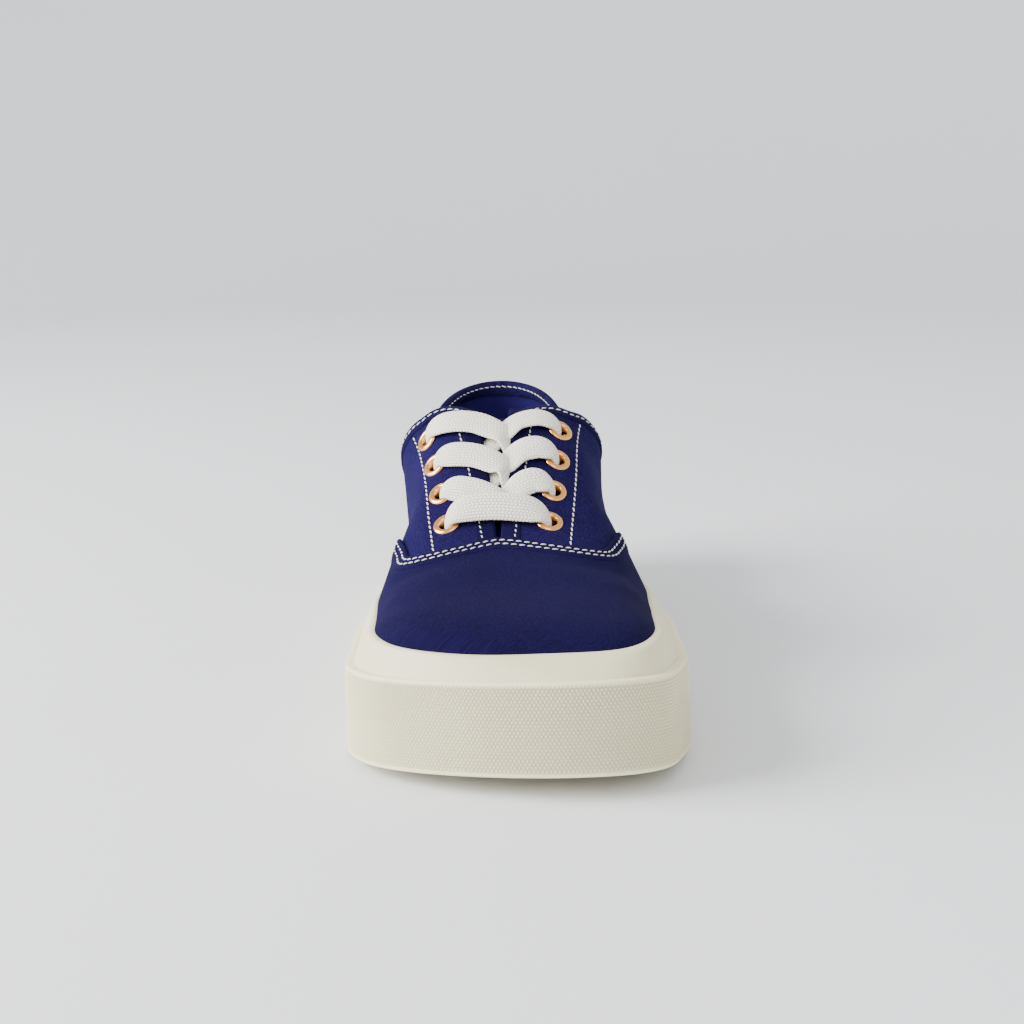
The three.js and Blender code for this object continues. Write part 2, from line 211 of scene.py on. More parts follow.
# ------------------------------------------------------------------------------------ last
@dataclass(frozen=True)
class Round:
    """How an end closes: over what run, and how full."""

    run: float
    power: float

    def close(self, distance: Array) -> Array:
        """0 at the end and 1 past the run, along a superellipse quarter."""
        a = np.clip(1 - distance / self.run, 0, 1)
        return np.clip(1 - a**self.power, 0, 1) ** (1 / self.power)


@dataclass(frozen=True)
class Last:
    """The form that the upper, the rubber and every overlay are worked out from."""

    length: float = 290.0
    origin_d: float = 144.7
    origin_x: float = -0.42
    strip_thick: float = 3.0
    front: float = 6.0
    back: float = 285.5
    inset: float = 3.2
    wall: float = 2.0
    toe_plan: Round = Round(50, 2.05)
    heel_plan: Round = Round(42, 2.2)
    toe_upper: Round = Round(45, 2.25)
    heel_upper: Round = Round(40, 2.2)
    toe_box: Round = Round(28, 2.6)
    flare_most: float = 3.4
    flare_middle: float = 165.0
    flare_reach: float = 16.0

    @staticmethod
    def spring(d: Array) -> Array:
        """Height of the sole's underside: it lifts towards the toe and a little at the heel."""
        toe = np.clip(1 - (d - 3) / 85, 0, 1.1)
        return 7 * toe**2 + 2 * np.clip((d - 268) / 22, 0, 1) ** 2

    def feather(self, d: Array) -> Array:
        """Height of the feather line, where the upper meets the sole."""
        return self.spring(d) * 0.6 + 20 + 4 * np.clip((d - 60) / 180, 0, 1)

    def plan_half(self, d: Array, grow: float) -> Array:
        """Half width of the foxing's plan, grown all round by grow.

        Args:
            d: stations.
            grow: growth all round.

        Returns:
            Half widths.
        """
        toe = self.toe_plan.close(d - (self.strip_thick - grow))
        heel = self.heel_plan.close(self.length + grow - d)
        return (PLAN.at(d, "half") + grow) * toe * heel

    def station(self, u: Array, grow: Array | float = 0.0) -> Array:
        """Station of the upper at u from 0 to 1, close together at both ends."""
        span = self.back - self.front + 2 * grow
        return self.front - grow + span * (1 - np.cos(np.pi * np.clip(u, 0, 1))) / 2

    def u_of(self, d: Array) -> Array:
        """The inverse of station, without growth."""
        t = np.clip((np.asarray(d, float) - self.front) / (self.back - self.front), 0, 1)
        return np.arccos(1 - 2 * t) / np.pi

    def section(self, d: Array, grow: Array | float) -> dict[str, Array]:
        """Crest, both half widths, rise and fullness of one section of the grown upper.

        Args:
            d: stations.
            grow: growth outwards from the last.

        Returns:
            Arrays by name: crest, inner, outer, rise and power.
        """
        toe = self.toe_upper.close(d - (self.front - grow))
        heel = self.heel_upper.close(self.back + grow - d)
        half = (PLAN.at(d, "half") - self.inset + grow) * toe * heel
        aside = SECTIONS.at(d, "aside") * np.minimum(1, half / 30)
        box = self.toe_box.close(d - (self.front - grow))
        return {
            "crest": PLAN.at(d, "middle") + aside,
            "inner": np.maximum(half - aside, 1e-4),
            "outer": np.maximum(half + aside, 1e-4),
            "rise": np.maximum((SECTIONS.at(d, "rise") + grow) * box, 1e-4),
            "power": SECTIONS.at(d, "power"),
        }

    def place(self, x: Array, d: Array, z: Array) -> Array:
        """Points in the shoe's frame from sideways place, station and height."""
        d, z = np.broadcast_arrays(d, z)
        return np.stack([np.broadcast_to(x, d.shape) - self.origin_x, d - self.origin_d, z], -1)

    def flare(self, d: Array, w: Array) -> Array:
        """Sideways swelling of the collar front, where the section has turned up by w."""
        bell = np.exp(-(((d - self.flare_middle) / self.flare_reach) ** 2))
        return self.flare_most * bell * (4 * w * (1 - w)) ** 2

    @staticmethod
    def relief(d: Array, v: Array) -> Array:
        """Sum of the listed creases: each is a bell across its line, faded along it.

        Args:
            d: stations.
            v: turns over the section.

        Returns:
            Heights over the smooth form, below it where negative.
        """
        total = np.zeros(np.broadcast(d, v).shape)
        turn = np.degrees(v)
        for c in CREASES:
            a = math.radians(c.heading)
            x, y = (turn - c.turn) * DEGREE, d - c.d
            along_it = x * math.cos(a) + y * math.sin(a)
            across_it = y * math.cos(a) - x * math.sin(a)
            total = total + c.height * np.exp(
                -((across_it / c.width) ** 2) - (2 * along_it / c.length) ** 4
            )
        return total

    def point(self, u: Array, v: Array, grow: Array | float = 0.0) -> Array:
        """Point of the upper, grown by grow, at place u along it and turn v over it.

        The section is a superellipse quarter on each side of the crest; near the top of the heel
        the whole section leans forward.

        Args:
            u: 0 at the toe to 1 at the heel.
            v: 0 at the medial feather line to pi at the lateral one.
            grow: distance outwards from the last.

        Returns:
            Points in millimetres in the shoe's frame.
        """
        u, v, grow = np.broadcast_arrays(np.asarray(u, float), v, grow)
        d = self.station(u, grow)
        c, w = np.cos(v), np.abs(np.sin(v))
        s = self.section(d, grow + self.relief(d, v) * np.clip(w * 2.5, 0, 1))
        reach = np.where(c >= 0, s["inner"], s["outer"])
        aside = reach * np.sign(c) * np.abs(c) ** (2 / s["power"])
        aside = aside + np.sign(c) * self.flare(d, w)
        z = self.feather(d) + s["rise"] * w ** (2 / s["power"])
        high = np.clip((z - 50) / 45, 0, 1.2)
        lean = 6 * high**2 * np.clip((d - 210) / 80, 0, 1)
        return self.place(s["crest"] + aside, d - lean, z)

    def v_aside(self, d: Array, aside: Array) -> Array:
        """Turn of the place that lies aside of the crest.

        Args:
            d: stations.
            aside: sideways places from the crest, the medial side positive.

        Returns:
            Turns.
        """
        s = self.section(np.asarray(d, float), 0.0)
        reach = np.where(aside >= 0, s["inner"], s["outer"])
        t = np.clip(np.abs(aside) / reach, 0, 1) ** (s["power"] / 2)
        return np.arccos(np.sign(aside) * t)

    def v_height(self, d: Array, z: Array, side: Side) -> Array:
        """Turn of the place at height z on one side.

        Args:
            d: stations.
            z: heights over the floor.
            side: the side of the shoe.

        Returns:
            Turns.
        """
        s = self.section(np.asarray(d, float), 0.0)
        t = np.clip((z - self.feather(d)) / s["rise"], 0, 1) ** (s["power"] / 2)
        v = np.arcsin(t)
        return v if side is Side.MEDIAL else np.pi - v

    def jacobian(self, u: Array, v: Array) -> tuple[Array, Array, Array]:
        """Derivatives of point by u and by v, and the outward normal.

        Args:
            u: places along the upper, 0 at the toe to 1 at the heel.
            v: turns over the section.

        Returns:
            The derivative by u, the derivative by v, and unit normals.
        """
        e = 1e-4
        v = np.clip(v, 0.03, math.pi - 0.03)
        low, high = np.maximum(u - e, 0), np.minimum(u + e, 1)
        pu = (self.point(high, v) - self.point(low, v)) / (high - low)[..., None]
        pv = (self.point(u, v + e) - self.point(u, v - e)) / (2 * e)
        n = np.cross(pv, pu)
        n /= np.maximum(np.linalg.norm(n, axis=-1, keepdims=True), 1e-9)
        return pu, pv, -n

    def slide(self, u: Array, v: Array, step: Array) -> tuple[Array, Array]:
        """Moves places within the surface by a step given in space, by least squares.

        Args:
            u: places along the upper, 0 at the toe to 1 at the heel.
            v: turns over the section.
            step: moves in millimetres.

        Returns:
            The new u and the new v.
        """
        pu, pv, _ = self.jacobian(u, v)
        a, b, c = (pu * pu).sum(-1), (pu * pv).sum(-1), (pv * pv).sum(-1)
        e, f = (pu * step).sum(-1), (pv * step).sum(-1)
        det = np.maximum(a * c - b * b, 1e-9)
        du, dv = (c * e - b * f) / det, (a * f - b * e) / det
        return np.clip(u + du, 0, 1), np.clip(v + dv, 0.01, math.pi - 0.01)


LAST = Last()


def circle(count: int) -> Array:
    """Angles round a full turn, the last one short of the first."""
    return np.linspace(0, 2 * np.pi, count + 1)[:-1]


def crowded(start: float, end: float, count: int) -> Array:
    """Places from start to end, close together at both ends."""
    return start + (end - start) * (1 - np.cos(np.pi * np.linspace(0, 1, count))) / 2


def unit(a: Array) -> Array:
    """Vectors of length one."""
    return a / np.maximum(np.linalg.norm(a, axis=-1, keepdims=True), 1e-12)


def along(points: Array) -> Array:
    """Distance along a polyline at each of its points."""
    steps = np.linalg.norm(np.diff(points, axis=0), axis=-1)
    return np.concatenate([[0.0], np.cumsum(steps)])


def spline(points: Sequence[Sequence[float]], count: int) -> Array:
    """A smooth curve through rows of numbers, evenly spaced by row.

    Args:
        points: rows of numbers.
        count: how many rows are wanted.

    Returns:
        Rows on the curve.
    """
    rows = tuple((float(i), *map(float, p)) for i, p in enumerate(points))
    names = ("t", *(f"c{i}" for i in range(len(points[0]))))
    t = np.linspace(0, len(rows) - 1, count)
    curve = Table(names, rows)
    return np.stack([curve.at(t, n) for n in names[1:]], -1)


@dataclass
class SurfaceCurve:
    """A curve drawn on the upper, as places u, v."""

    u: Array
    v: Array

    @property
    def points(self) -> Array:
        """The curve's points on the last."""
        return LAST.point(self.u, self.v)

    def resample(self, step: float) -> "SurfaceCurve":
        """The same curve with points a step apart.

        Args:
            step: distance between points.

        Returns:
            The new curve.
        """
        s = along(self.points)
        keep = np.concatenate([[True], np.diff(s) > 1e-6])
        s, u, v = s[keep], self.u[keep], self.v[keep]
        n = max(int(round(s[-1] / step)), 2) + 1
        t = np.linspace(0, s[-1], n)
        return SurfaceCurve(np.interp(t, s, u), np.interp(t, s, v))

    def frames(self) -> tuple[Array, Array, Array]:
        """Unit vectors along the curve, to its side within the surface, and outwards.

        Returns:
            Tangents, sideways directions and normals.
        """
        tangent = unit(np.gradient(self.points, axis=0))
        _, _, normal = LAST.jacobian(self.u, self.v)
        return tangent, unit(np.cross(normal, tangent)), normal

    def offset(self, width: float) -> "SurfaceCurve":
        """The curve moved sideways within the surface, in short steps; the heel stays put.

        Args:
            width: how far, positive along the sideways directions.

        Returns:
            The moved curve.
        """
        u, v = self.u, self.v
        _, side, _ = self.frames()
        k = max(int(abs(width) / 1.2) + 1, 1)
        for _ in range(k):
            nu, nv = LAST.slide(u, v, side * (width / k))
            hold = np.clip((1 - self.u) / 0.03, 0, 1)
            u = u + (nu - u) * hold
            v = nv
        return SurfaceCurve(u, v)

    def joined(self, other: "SurfaceCurve") -> "SurfaceCurve":
        """This curve and then another."""
        return SurfaceCurve(np.concatenate([self.u, other.u]), np.concatenate([self.v, other.v]))

    def reversed(self) -> "SurfaceCurve":
        """The same curve from its other end."""
        return SurfaceCurve(self.u[::-1], self.v[::-1])


# ---------------------------------------------------------------------------------- meshes
@dataclass
class Mesh:
    """Collects grids and small solids, then makes one object."""

    name: str
    verts: list[Array] = field(default_factory=list)
    quads: list[Array] = field(default_factory=list)
    uvs: list[Array] = field(default_factory=list)
    # Per point: where the finishes paint shade into grooves and light onto the lining.
    painted_light_marks: list[Array] = field(default_factory=list)
    size: int = 0

    def add(self, points: Array, faces: Array, uv: Array | None = None,
            painted_light_mark: Array | None = None) -> None:
        """Adds points in millimetres and faces of three or four corners.

        Args:
            points: rows of x, y, z.
            faces: rows of four indices; a triangle repeats its last one.
            uv: rows of two lengths in millimetres, one per point.
            painted_light_mark: weight of the painted light and shade, from 0 to 1, one per point: the toe
                strip's groove depth, which gets painted shade, and the upper's lining, which gets painted
                light.
        """
        self.verts.append(points.reshape(-1, 3))
        self.quads.append(faces + self.size)
        flat = points.reshape(-1, 3)
        self.uvs.append(flat[:, :2] if uv is None else uv.reshape(-1, 2))
        self.painted_light_marks.append(np.zeros(len(flat)) if painted_light_mark is None else painted_light_mark.ravel())
        self.size += len(flat)

    def grid(self, points: Array, uv: Array | None = None, ring: bool = False,
             painted_light_mark: Array | None = None) -> None:
        """Adds a grid of points; ring closes it in its second direction.

        Args:
            points: rows and columns of x, y, z.
            uv: two lengths in millimetres, one pair per point.
            ring: whether the last column meets the first.
            painted_light_mark: weight of the painted light and shade, from 0 to 1, one per point: the toe
                strip's groove depth, which gets painted shade, and the upper's lining, which gets painted
                light.
        """
        rows, cols = points.shape[:2]
        i, j = np.meshgrid(np.arange(rows - 1), np.arange(cols if ring else cols - 1), indexing="ij")
        k = (j + 1) % cols
        faces = np.stack([i * cols + j, i * cols + k, (i + 1) * cols + k, (i + 1) * cols + j], -1)
        self.add(points, faces.reshape(-1, 4), uv, painted_light_mark)

    def cap(self, ring: Array) -> None:
        """Closes an open end with a fan of triangles round the ring's middle.

        Args:
            ring: the points round the open end.
        """
        n = len(ring)
        fan = np.stack([np.arange(n), (np.arange(n) + 1) % n, np.full(n, n), np.full(n, n)], -1)
        self.add(np.concatenate([ring, ring.mean(0)[None]]), fan)

    def build(self, material: bpy.types.Material, slot: Slot, merge: float = 2e-6,
              sharp: float = 50.0) -> bpy.types.Object:
        """Makes the object: seams are joined, faces turned outwards, shading smooth.

        Args:
            material: the object's material.
            slot: not used.
            merge: distance in metres within which points are joined.
            sharp: angle in degrees over which an edge is shaded sharp.

        Returns:
            The object.
        """
        verts = np.concatenate(self.verts) * 1e-3
        quads = np.concatenate(self.quads)
        uvs = np.concatenate(self.uvs)
        faces = [tuple(dict.fromkeys(q)) for q in quads.tolist()]
        keep = [f for f in faces if len(f) > 2]
        mesh = bpy.data.meshes.new(self.name)
        mesh.from_pydata(verts.tolist(), [], keep)
        corner = np.empty(len(mesh.loops), np.int32)
        mesh.loops.foreach_get("vertex_index", corner)
        layer = mesh.uv_layers.new(name="cloth")
        layer.data.foreach_set("uv", uvs[corner].ravel().astype(np.float32))
        # This point attribute holds those weights: groove depth on the toe strip, painted as shade, and 1
        # on the upper's lining, painted as light.
        groove = mesh.attributes.new("groove", "FLOAT", "POINT")
        groove.data.foreach_set("value", np.concatenate(self.painted_light_marks).astype(np.float32))
        bm = bmesh.new()
        bm.from_mesh(mesh)
        bmesh.ops.remove_doubles(bm, verts=bm.verts, dist=merge)
        bmesh.ops.dissolve_degenerate(bm, edges=bm.edges, dist=1e-7)
        bmesh.ops.recalc_face_normals(bm, faces=bm.faces)
        bm.to_mesh(mesh)
        bm.free()
        mesh.polygons.foreach_set("use_smooth", np.ones(len(mesh.polygons), bool))
        mesh.set_sharp_from_angle(angle=math.radians(sharp))
        mesh.materials.append(material)
        obj = bpy.data.objects.new(self.name, mesh)
        bpy.context.scene.collection.objects.link(obj)
        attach(obj, BODY)
        LOG.info("%s: %d faces", self.name, len(mesh.polygons))
        return obj


def lengths(points: Array) -> Array:
    """Cloth coordinates of a grid: distance along each row and down each column.

    Args:
        points: rows and columns of x, y, z.

    Returns:
        Two lengths per point.
    """
    across = np.linalg.norm(np.diff(points, axis=1), axis=-1)
    down = np.linalg.norm(np.diff(points, axis=0), axis=-1)
    s = np.concatenate([np.zeros((len(points), 1)), np.cumsum(across, 1)], 1)
    t = np.concatenate([np.zeros((1, points.shape[1])), np.cumsum(down, 0)], 0)
    return np.stack([s, t], -1)


def band(mesh: Mesh, curve: SurfaceCurve, profile: Sequence[tuple[float, float]],
         wave: Callable[[Array, Array], Array] | None = None) -> None:
    """Lays a closed strip along a curve on the upper.

    Args:
        mesh: where it goes.
        curve: the line it follows.
        profile: rows of sideways distance and height over the last, round the strip.
        wave: extra height by place u and turn v.
    """
    rows = []
    s = along(curve.points)
    for width, height in profile:
        moved = curve.offset(width)
        extra = 0.0 if wave is None else wave(moved.u, moved.v)
        rows.append(LAST.point(moved.u, moved.v, height + extra))
    ring = np.stack(rows, 1)
    uv = np.stack([np.broadcast_to(s[:, None], ring.shape[:2]),
                   np.broadcast_to(np.array([w for w, _ in profile]), ring.shape[:2])], -1)
    mesh.grid(ring, uv, ring=True)
    for end in (0, -1):
        mesh.cap(ring[end])


# --------------------------------------------------------------------------------- finishes
@dataclass(frozen=True)
class Value:
    """A shader socket that can be used in sums."""

    tree: bpy.types.NodeTree
    socket: bpy.types.NodeSocket

    def make(self, kind: str, inputs: dict[str, object], output: str | int = 0,
             **settings: object) -> "Value":
        """Adds any node to the same tree.

        Args:
            kind: the node's type.
            inputs: socket names with a Value to link or a constant to set.
            output: the output that is wanted.
            settings: properties of the node.

        Returns:
            The wanted output.
        """
        node = self.tree.nodes.new(kind)
        for name, value in settings.items():
            setattr(node, name, value)
        for name, value in inputs.items():
            target = node.inputs[name]
            if isinstance(value, Value):
                self.tree.links.new(value.socket, target)
            else:
                target.default_value = value
        return Value(self.tree, node.outputs[output])

    def maths(self, operation: str, *others: "Value | float") -> "Value":
        """One Math node with this value first."""
        return chain(self.tree, operation, self, *others)

    def __add__(self, other: "Value | float") -> "Value":
        """The value plus another."""
        return self.maths("ADD", other)

    def __radd__(self, other: float) -> "Value":
        """A constant plus the value."""
        return self.maths("ADD", other)

    def __sub__(self, other: "Value | float") -> "Value":
        """The value less another."""
        return self.maths("SUBTRACT", other)

    def __rsub__(self, other: float) -> "Value":
        """A constant less the value."""
        return chain(self.tree, "SUBTRACT", other, self)

    def __mul__(self, other: "Value | float") -> "Value":
        """The value times another."""
        return self.maths("MULTIPLY", other)

    def __rmul__(self, other: float) -> "Value":
        """A constant times the value."""
        return self.maths("MULTIPLY", other)

    def axes(self) -> tuple["Value", "Value"]:
        """The first two axes of a place.

        Returns:
            The two values.
        """
        split = self.tree.nodes.new("ShaderNodeSeparateXYZ")
        self.tree.links.new(self.socket, split.inputs[0])
        return Value(self.tree, split.outputs[0]), Value(self.tree, split.outputs[1])

    def sin(self) -> "Value":
        """Sine of the value."""
        return self.maths("SINE")

    def abs(self) -> "Value":
        """Size of the value."""
        return self.maths("ABSOLUTE")

    def clip(self) -> "Value":
        """The value held from 0 to 1."""
        return self.maths("MAXIMUM", 0.0).maths("MINIMUM", 1.0)

    def noise(self, place: "Value", scale: float, detail: float = 2.0) -> "Value":
        """Smooth noise over a place."""
        inputs = {"Vector": place, "Scale": scale, "Detail": detail}
        return self.make("ShaderNodeTexNoise", inputs)

    def mix(self, low: Sequence[float], high: Sequence[float]) -> "Value":
        """A colour between two, by this value.

        Args:
            low: the colour at 0.
            high: the colour at 1.

        Returns:
            The colour.
        """
        return self.make(
            "ShaderNodeMix",
            {"Factor": self, "A": (*low, 1.0), "B": (*high, 1.0)},
            "Result",
            data_type="RGBA",
        )


def chain(tree: bpy.types.NodeTree, operation: str, *values: Value | float) -> Value:
    """A Math node over values and constants.

    Args:
        tree: the tree that gets the node.
        operation: the node's operation.
        values: its inputs, in order.

    Returns:
        The result.
    """
    node = tree.nodes.new("ShaderNodeMath")
    node.operation = operation
    for i, value in enumerate(values):
        if isinstance(value, Value):
            tree.links.new(value.socket, node.inputs[i])
        else:
            node.inputs[i].default_value = value
    return Value(tree, node.outputs[0])


@dataclass(frozen=True)
class Finish:
    """A material; each kind of finish fills in its own nodes."""

    name: str
    colour: tuple[float, float, float]
    roughness: float = 0.8

    def material(self) -> bpy.types.Material:
        """Makes the material with its colour, roughness and relief.

        Returns:
            The material.
        """
        made = bpy.data.materials.new(self.name)
        made.use_nodes = True
        tree = made.node_tree
        shader = tree.nodes["Principled BSDF"]
        shader.inputs["Roughness"].default_value = self.roughness
        uv = tree.nodes.new("ShaderNodeUVMap")
        uv.uv_map = "cloth"
        coords = tree.nodes.new("ShaderNodeTexCoord")
        cloth = Value(tree, uv.outputs["UV"])
        place = Value(tree, coords.outputs["Object"])
        colour, height, depth = self.surface(cloth, place)
        tree.links.new(colour.socket, shader.inputs["Base Color"])
        bump = cloth.make("ShaderNodeBump", {"Height": height, "Strength": 1.0, "Distance": depth},
                          "Normal")
        tree.links.new(bump.socket, shader.inputs["Normal"])
        self.extras(shader)
        return made

    def surface(self, cloth: Value, place: Value) -> tuple[Value, Value, float]:
        """Colour, height from 0 to 1, and the depth in metres that the height stands for."""
        raise NotImplementedError

    def extras(self, shader: bpy.types.Node) -> None:
        """Sets the constants that only this finish needs."""

    def tone(self, factor: float) -> tuple[float, float, float]:
        """The finish's colour made lighter or darker."""
        r, g, b = self.colour
        return (r * factor, g * factor, b * factor)


@dataclass(frozen=True)
class Canvas(Finish):
    """Plain-woven cotton with slubby threads and a little fuzz."""

    pitch: float = 0.46
    fuzz: float = 0.02
    # Painted light on the lining faces, with a lighter top tone for the whole finish.
    inside_painted_light: float = 0.0

    def surface(self, cloth: Value, place: Value) -> tuple[Value, Value, float]:
        """Crossed threads with slubs, grain, worn patches and pale flecks; the lining faces get painted
        light.

        Args:
            cloth: place in the cloth, in millimetres.
            place: place in the object, in metres.

        Returns:
            Colour, height from 0 to 1, and the depth in metres that the height stands for.
        """
        s, t = cloth.axes()
        drift = (cloth.noise(cloth, 0.22, 2.0) - 0.5) * 2.4
        s, t = s + drift, t - drift
        k = math.pi / self.pitch
        over = (s * k).sin() * (t * k).sin()
        ribs = (s * (2 * k) + QUARTER_TURN).sin() + (t * (2 * k) + QUARTER_TURN).sin()
        weave = over * 0.3 - ribs * 0.1 + 0.5
        stretch_s = cloth.make("ShaderNodeMapping", {"Vector": cloth, "Scale": (0.3, 2.6, 1.0)})
        stretch_t = cloth.make("ShaderNodeMapping", {"Vector": cloth, "Scale": (2.6, 0.3, 1.0)})
        slub = cloth.noise(stretch_s, 1.0) + cloth.noise(stretch_t, 1.0)
        grain = cloth.noise(cloth, 1.5, 3.0)
        fleck = ((cloth.noise(cloth, 2.3, 1.0) - 0.62) * 6.0).clip()
        patch = place.noise(place, 16.0, 4.0)
        # Mostly the cloth's own random tone; the weave term darkens the hollows between threads, a little
        # painted shade.
        shade = slub * 0.9 + grain * 1.9 + patch * 0.5 + weave * 0.3 + fleck * 0.5 - 1.83
        # Painted light: faces marked as lining are lightened, and the top tone is raised with them, so the
        # inside of the heel looks lit.
        inner = place.make("ShaderNodeAttribute", {}, "Fac", attribute_name="groove")
        shade = (shade + inner * self.inside_painted_light).clip()
        colour = shade.mix(self.tone(0.52), self.tone(1.55 + 1.2 * self.inside_painted_light))
        return colour, weave * 0.35 + slub * 0.25 + grain * 0.4, 0.0002

    def extras(self, shader: bpy.types.Node) -> None:
        """Sets the fuzz of the cotton and takes the shine away.

        Args:
            shader: the shader node.
        """
        shader.inputs["Sheen Weight"].default_value = self.fuzz
        shader.inputs["Sheen Roughness"].default_value = 0.45
        shader.inputs["Sheen Tint"].default_value = (0.36, 0.34, 0.80, 1.0)
        shader.inputs["Specular IOR Level"].default_value = 0.05


@dataclass(frozen=True)
class Rubber(Finish):
    """Vulcanised rubber: faint clouding, fine moulding grain."""

    grain: float = 0.00002
    # Tone at the bottom of a groove: painted shade.
    groove: float = 0.60

    def surface(self, cloth: Value, place: Value) -> tuple[Value, Value, float]:
        """Faint clouds and specks, with painted shade that darkens the grooves.

        Args:
            cloth: not used.
            place: place in the object, in metres.

        Returns:
            Colour, height from 0 to 1, and the depth in metres that the height stands for.
        """
        cloud = place.noise(place, 30.0, 4.0)
        speck = place.noise(place, 900.0, 2.0)
        # Groove depth from the mesh; subtracting it below darkens the grooves, painted shade.
        groove = place.make("ShaderNodeAttribute", {}, "Fac", attribute_name="groove")
        shade = (cloud * 0.2 + speck * 0.1 + 0.78 - groove).clip()
        colour = shade.mix(self.tone(self.groove), self.tone(1.06))
        return colour, place.noise(place, 420.0, 3.0), self.grain

    def extras(self, shader: bpy.types.Node) -> None:
        """Lets a little light into the rubber and sets its shine.

        Args:
            shader: the shader node.
        """
        shader.inputs["Subsurface Weight"].default_value = 0.08
        shader.inputs["Subsurface Radius"].default_value = (1.0, 0.8, 0.5)
        shader.inputs["Subsurface Scale"].default_value = 0.002
        shader.inputs["Specular IOR Level"].default_value = 0.4


@dataclass(frozen=True)
class Braid(Finish):
    """Flat braided cotton: rows of small slanting cells along the lace."""

    along: float = 1.3
    across: float = 1.15

    def surface(self, cloth: Value, place: Value) -> tuple[Value, Value, float]:
        """Rows of slanting cells with loose fibres, darker where the braid is low: painted shade in its
        hollows.

        Args:
            cloth: place in the cloth, in millimetres.
            place: place in the object, in metres.

        Returns:
            Colour, height from 0 to 1, and the depth in metres that the height stands for.
        """
        s, t = cloth.axes()
        row = (t * (math.pi / self.across)).sin().abs()
        lean = (t * (math.pi / self.across)).sin() * 0.9
        cell = (s * (2 * math.pi / self.along) + lean * 1.6).sin() * 0.5 + 0.5
        fibre = cloth.noise(cloth, 3.0, 3.0)
        height = row.maths("POWER", 0.6) * (cell * 0.55 + 0.45) + fibre * 0.25
        # Colour follows the height: painted shade in the hollows between rows and cells, plus a little
        # random tone.
        shade = (height * 0.95 + place.noise(place, 60.0, 2.0) * 0.3 - 0.1).clip()
        return shade.mix(self.tone(0.66), self.tone(1.06)), height, 0.00034

    def extras(self, shader: bpy.types.Node) -> None:
        """Sets the fuzz and the low shine of the braid.

        Args:
            shader: the shader node.
        """
        shader.inputs["Sheen Weight"].default_value = 0.15
        shader.inputs["Specular IOR Level"].default_value = 0.2


@dataclass(frozen=True)
class Thread(Finish):
    """Twisted sewing thread."""

    def surface(self, cloth: Value, place: Value) -> tuple[Value, Value, float]:
        """Slanting bands of the twist, darker in its hollows: painted shade.

        Args:
            cloth: place in the cloth, in millimetres.
            place: not used.

        Returns:
            Colour, height from 0 to 1, and the depth in metres that the height stands for.
        """
        s, t = cloth.axes()
        twist = (s * 9.0 + t * 6.0).sin() * 0.5 + 0.5
        # The colour follows the twist's height: painted shade in the hollows of the twist.
        return twist.mix(self.tone(0.8), self.tone(1.05)), twist, 0.00005

    def extras(self, shader: bpy.types.Node) -> None:
        """Sets the fuzz of the thread."""
        shader.inputs["Sheen Weight"].default_value = 0.1


@dataclass(frozen=True)
class Metal(Finish):
    """Plated metal with a faint brushed haze."""

    def surface(self, cloth: Value, place: Value) -> tuple[Value, Value, float]:
        """A faint haze."""
        haze = place.noise(place, 260.0, 3.0)
        return haze.mix(self.tone(0.9), self.tone(1.06)), haze, 0.00002

    def extras(self, shader: bpy.types.Node) -> None:
        """Makes the surface metallic."""
        shader.inputs["Metallic"].default_value = 1.0


@dataclass(frozen=True)
class Ground(Finish):
    """The plain studio floor."""

    def surface(self, cloth: Value, place: Value) -> tuple[Value, Value, float]:
        """Almost one tone, with broad faint clouds."""
        cloud = place.noise(place, 3.0, 2.0)
        return cloud.mix(self.tone(0.99), self.tone(1.01)), cloud, 0.00001


@dataclass(frozen=True)
class Palette:
    """Every finish of the shoe."""

    canvas: Finish = Canvas("navy canvas", (0.0058, 0.0034, 0.0315), 0.92)
    # The quarters' lining faces get painted light.
    shell: Finish = Canvas("navy quarters", (0.0064, 0.0038, 0.0330), 0.92, inside_painted_light=0.9)
    binding: Finish = Canvas("navy tape", (0.0078, 0.0050, 0.0370), 0.9, pitch=0.34, fuzz=0.03)
    lining: Finish = Canvas("navy lining", (0.0090, 0.0062, 0.040), 0.95, pitch=0.6, fuzz=0.01)
    foxing: Finish = Rubber("cream rubber", (0.73, 0.665, 0.44), 0.5)
    strip: Finish = Rubber("cream textured rubber", (0.85, 0.775, 0.50), 0.6)
    sole: Finish = Rubber("sole rubber", (0.66, 0.60, 0.40), 0.7)
    lace: Finish = Braid("off-white braid", (0.92, 0.875, 0.755), 0.9)
    thread: Finish = Thread("off-white thread", (0.66, 0.64, 0.60), 0.8)
    eyelet: Finish = Metal("rose gold", (0.86, 0.43, 0.14), 0.2)
    floor: Finish = Ground("studio floor", (0.79, 0.80, 0.82), 0.8)


# ----------------------------------------------------------------------------- the pieces
def ease(t: Array) -> Array:
    """0 to 1 with level ends."""
    t = np.clip(t, 0, 1)
    return t * t * (3 - 2 * t)


def outline(count: int, grow: Array | float, swell: float = 0.0) -> tuple[Array, Array]:
    """Sideways places and stations of the foxing's plan, medial side first and back again.

    Args:
        count: stations on one side.
        grow: growth of the plan.
        swell: further growth that fades out behind the toe strip.

    Returns:
        Sideways places and stations.
    """
    g = grow + swell
    front, back = LAST.strip_thick - g, LAST.length + grow
    d = crowded(front, back, count)
    fade = 0.6 * ease((d - 4) / 36) + 0.4 * ease((d - 96) / 18)
    half = LAST.plan_half(d, g) * (1 - fade) + LAST.plan_half(d, grow) * fade
    middle = PLAN.at(d, "middle")
    x = np.concatenate([middle + half, (middle - half)[::-1]])
    return x, np.concatenate([d, d[::-1]])


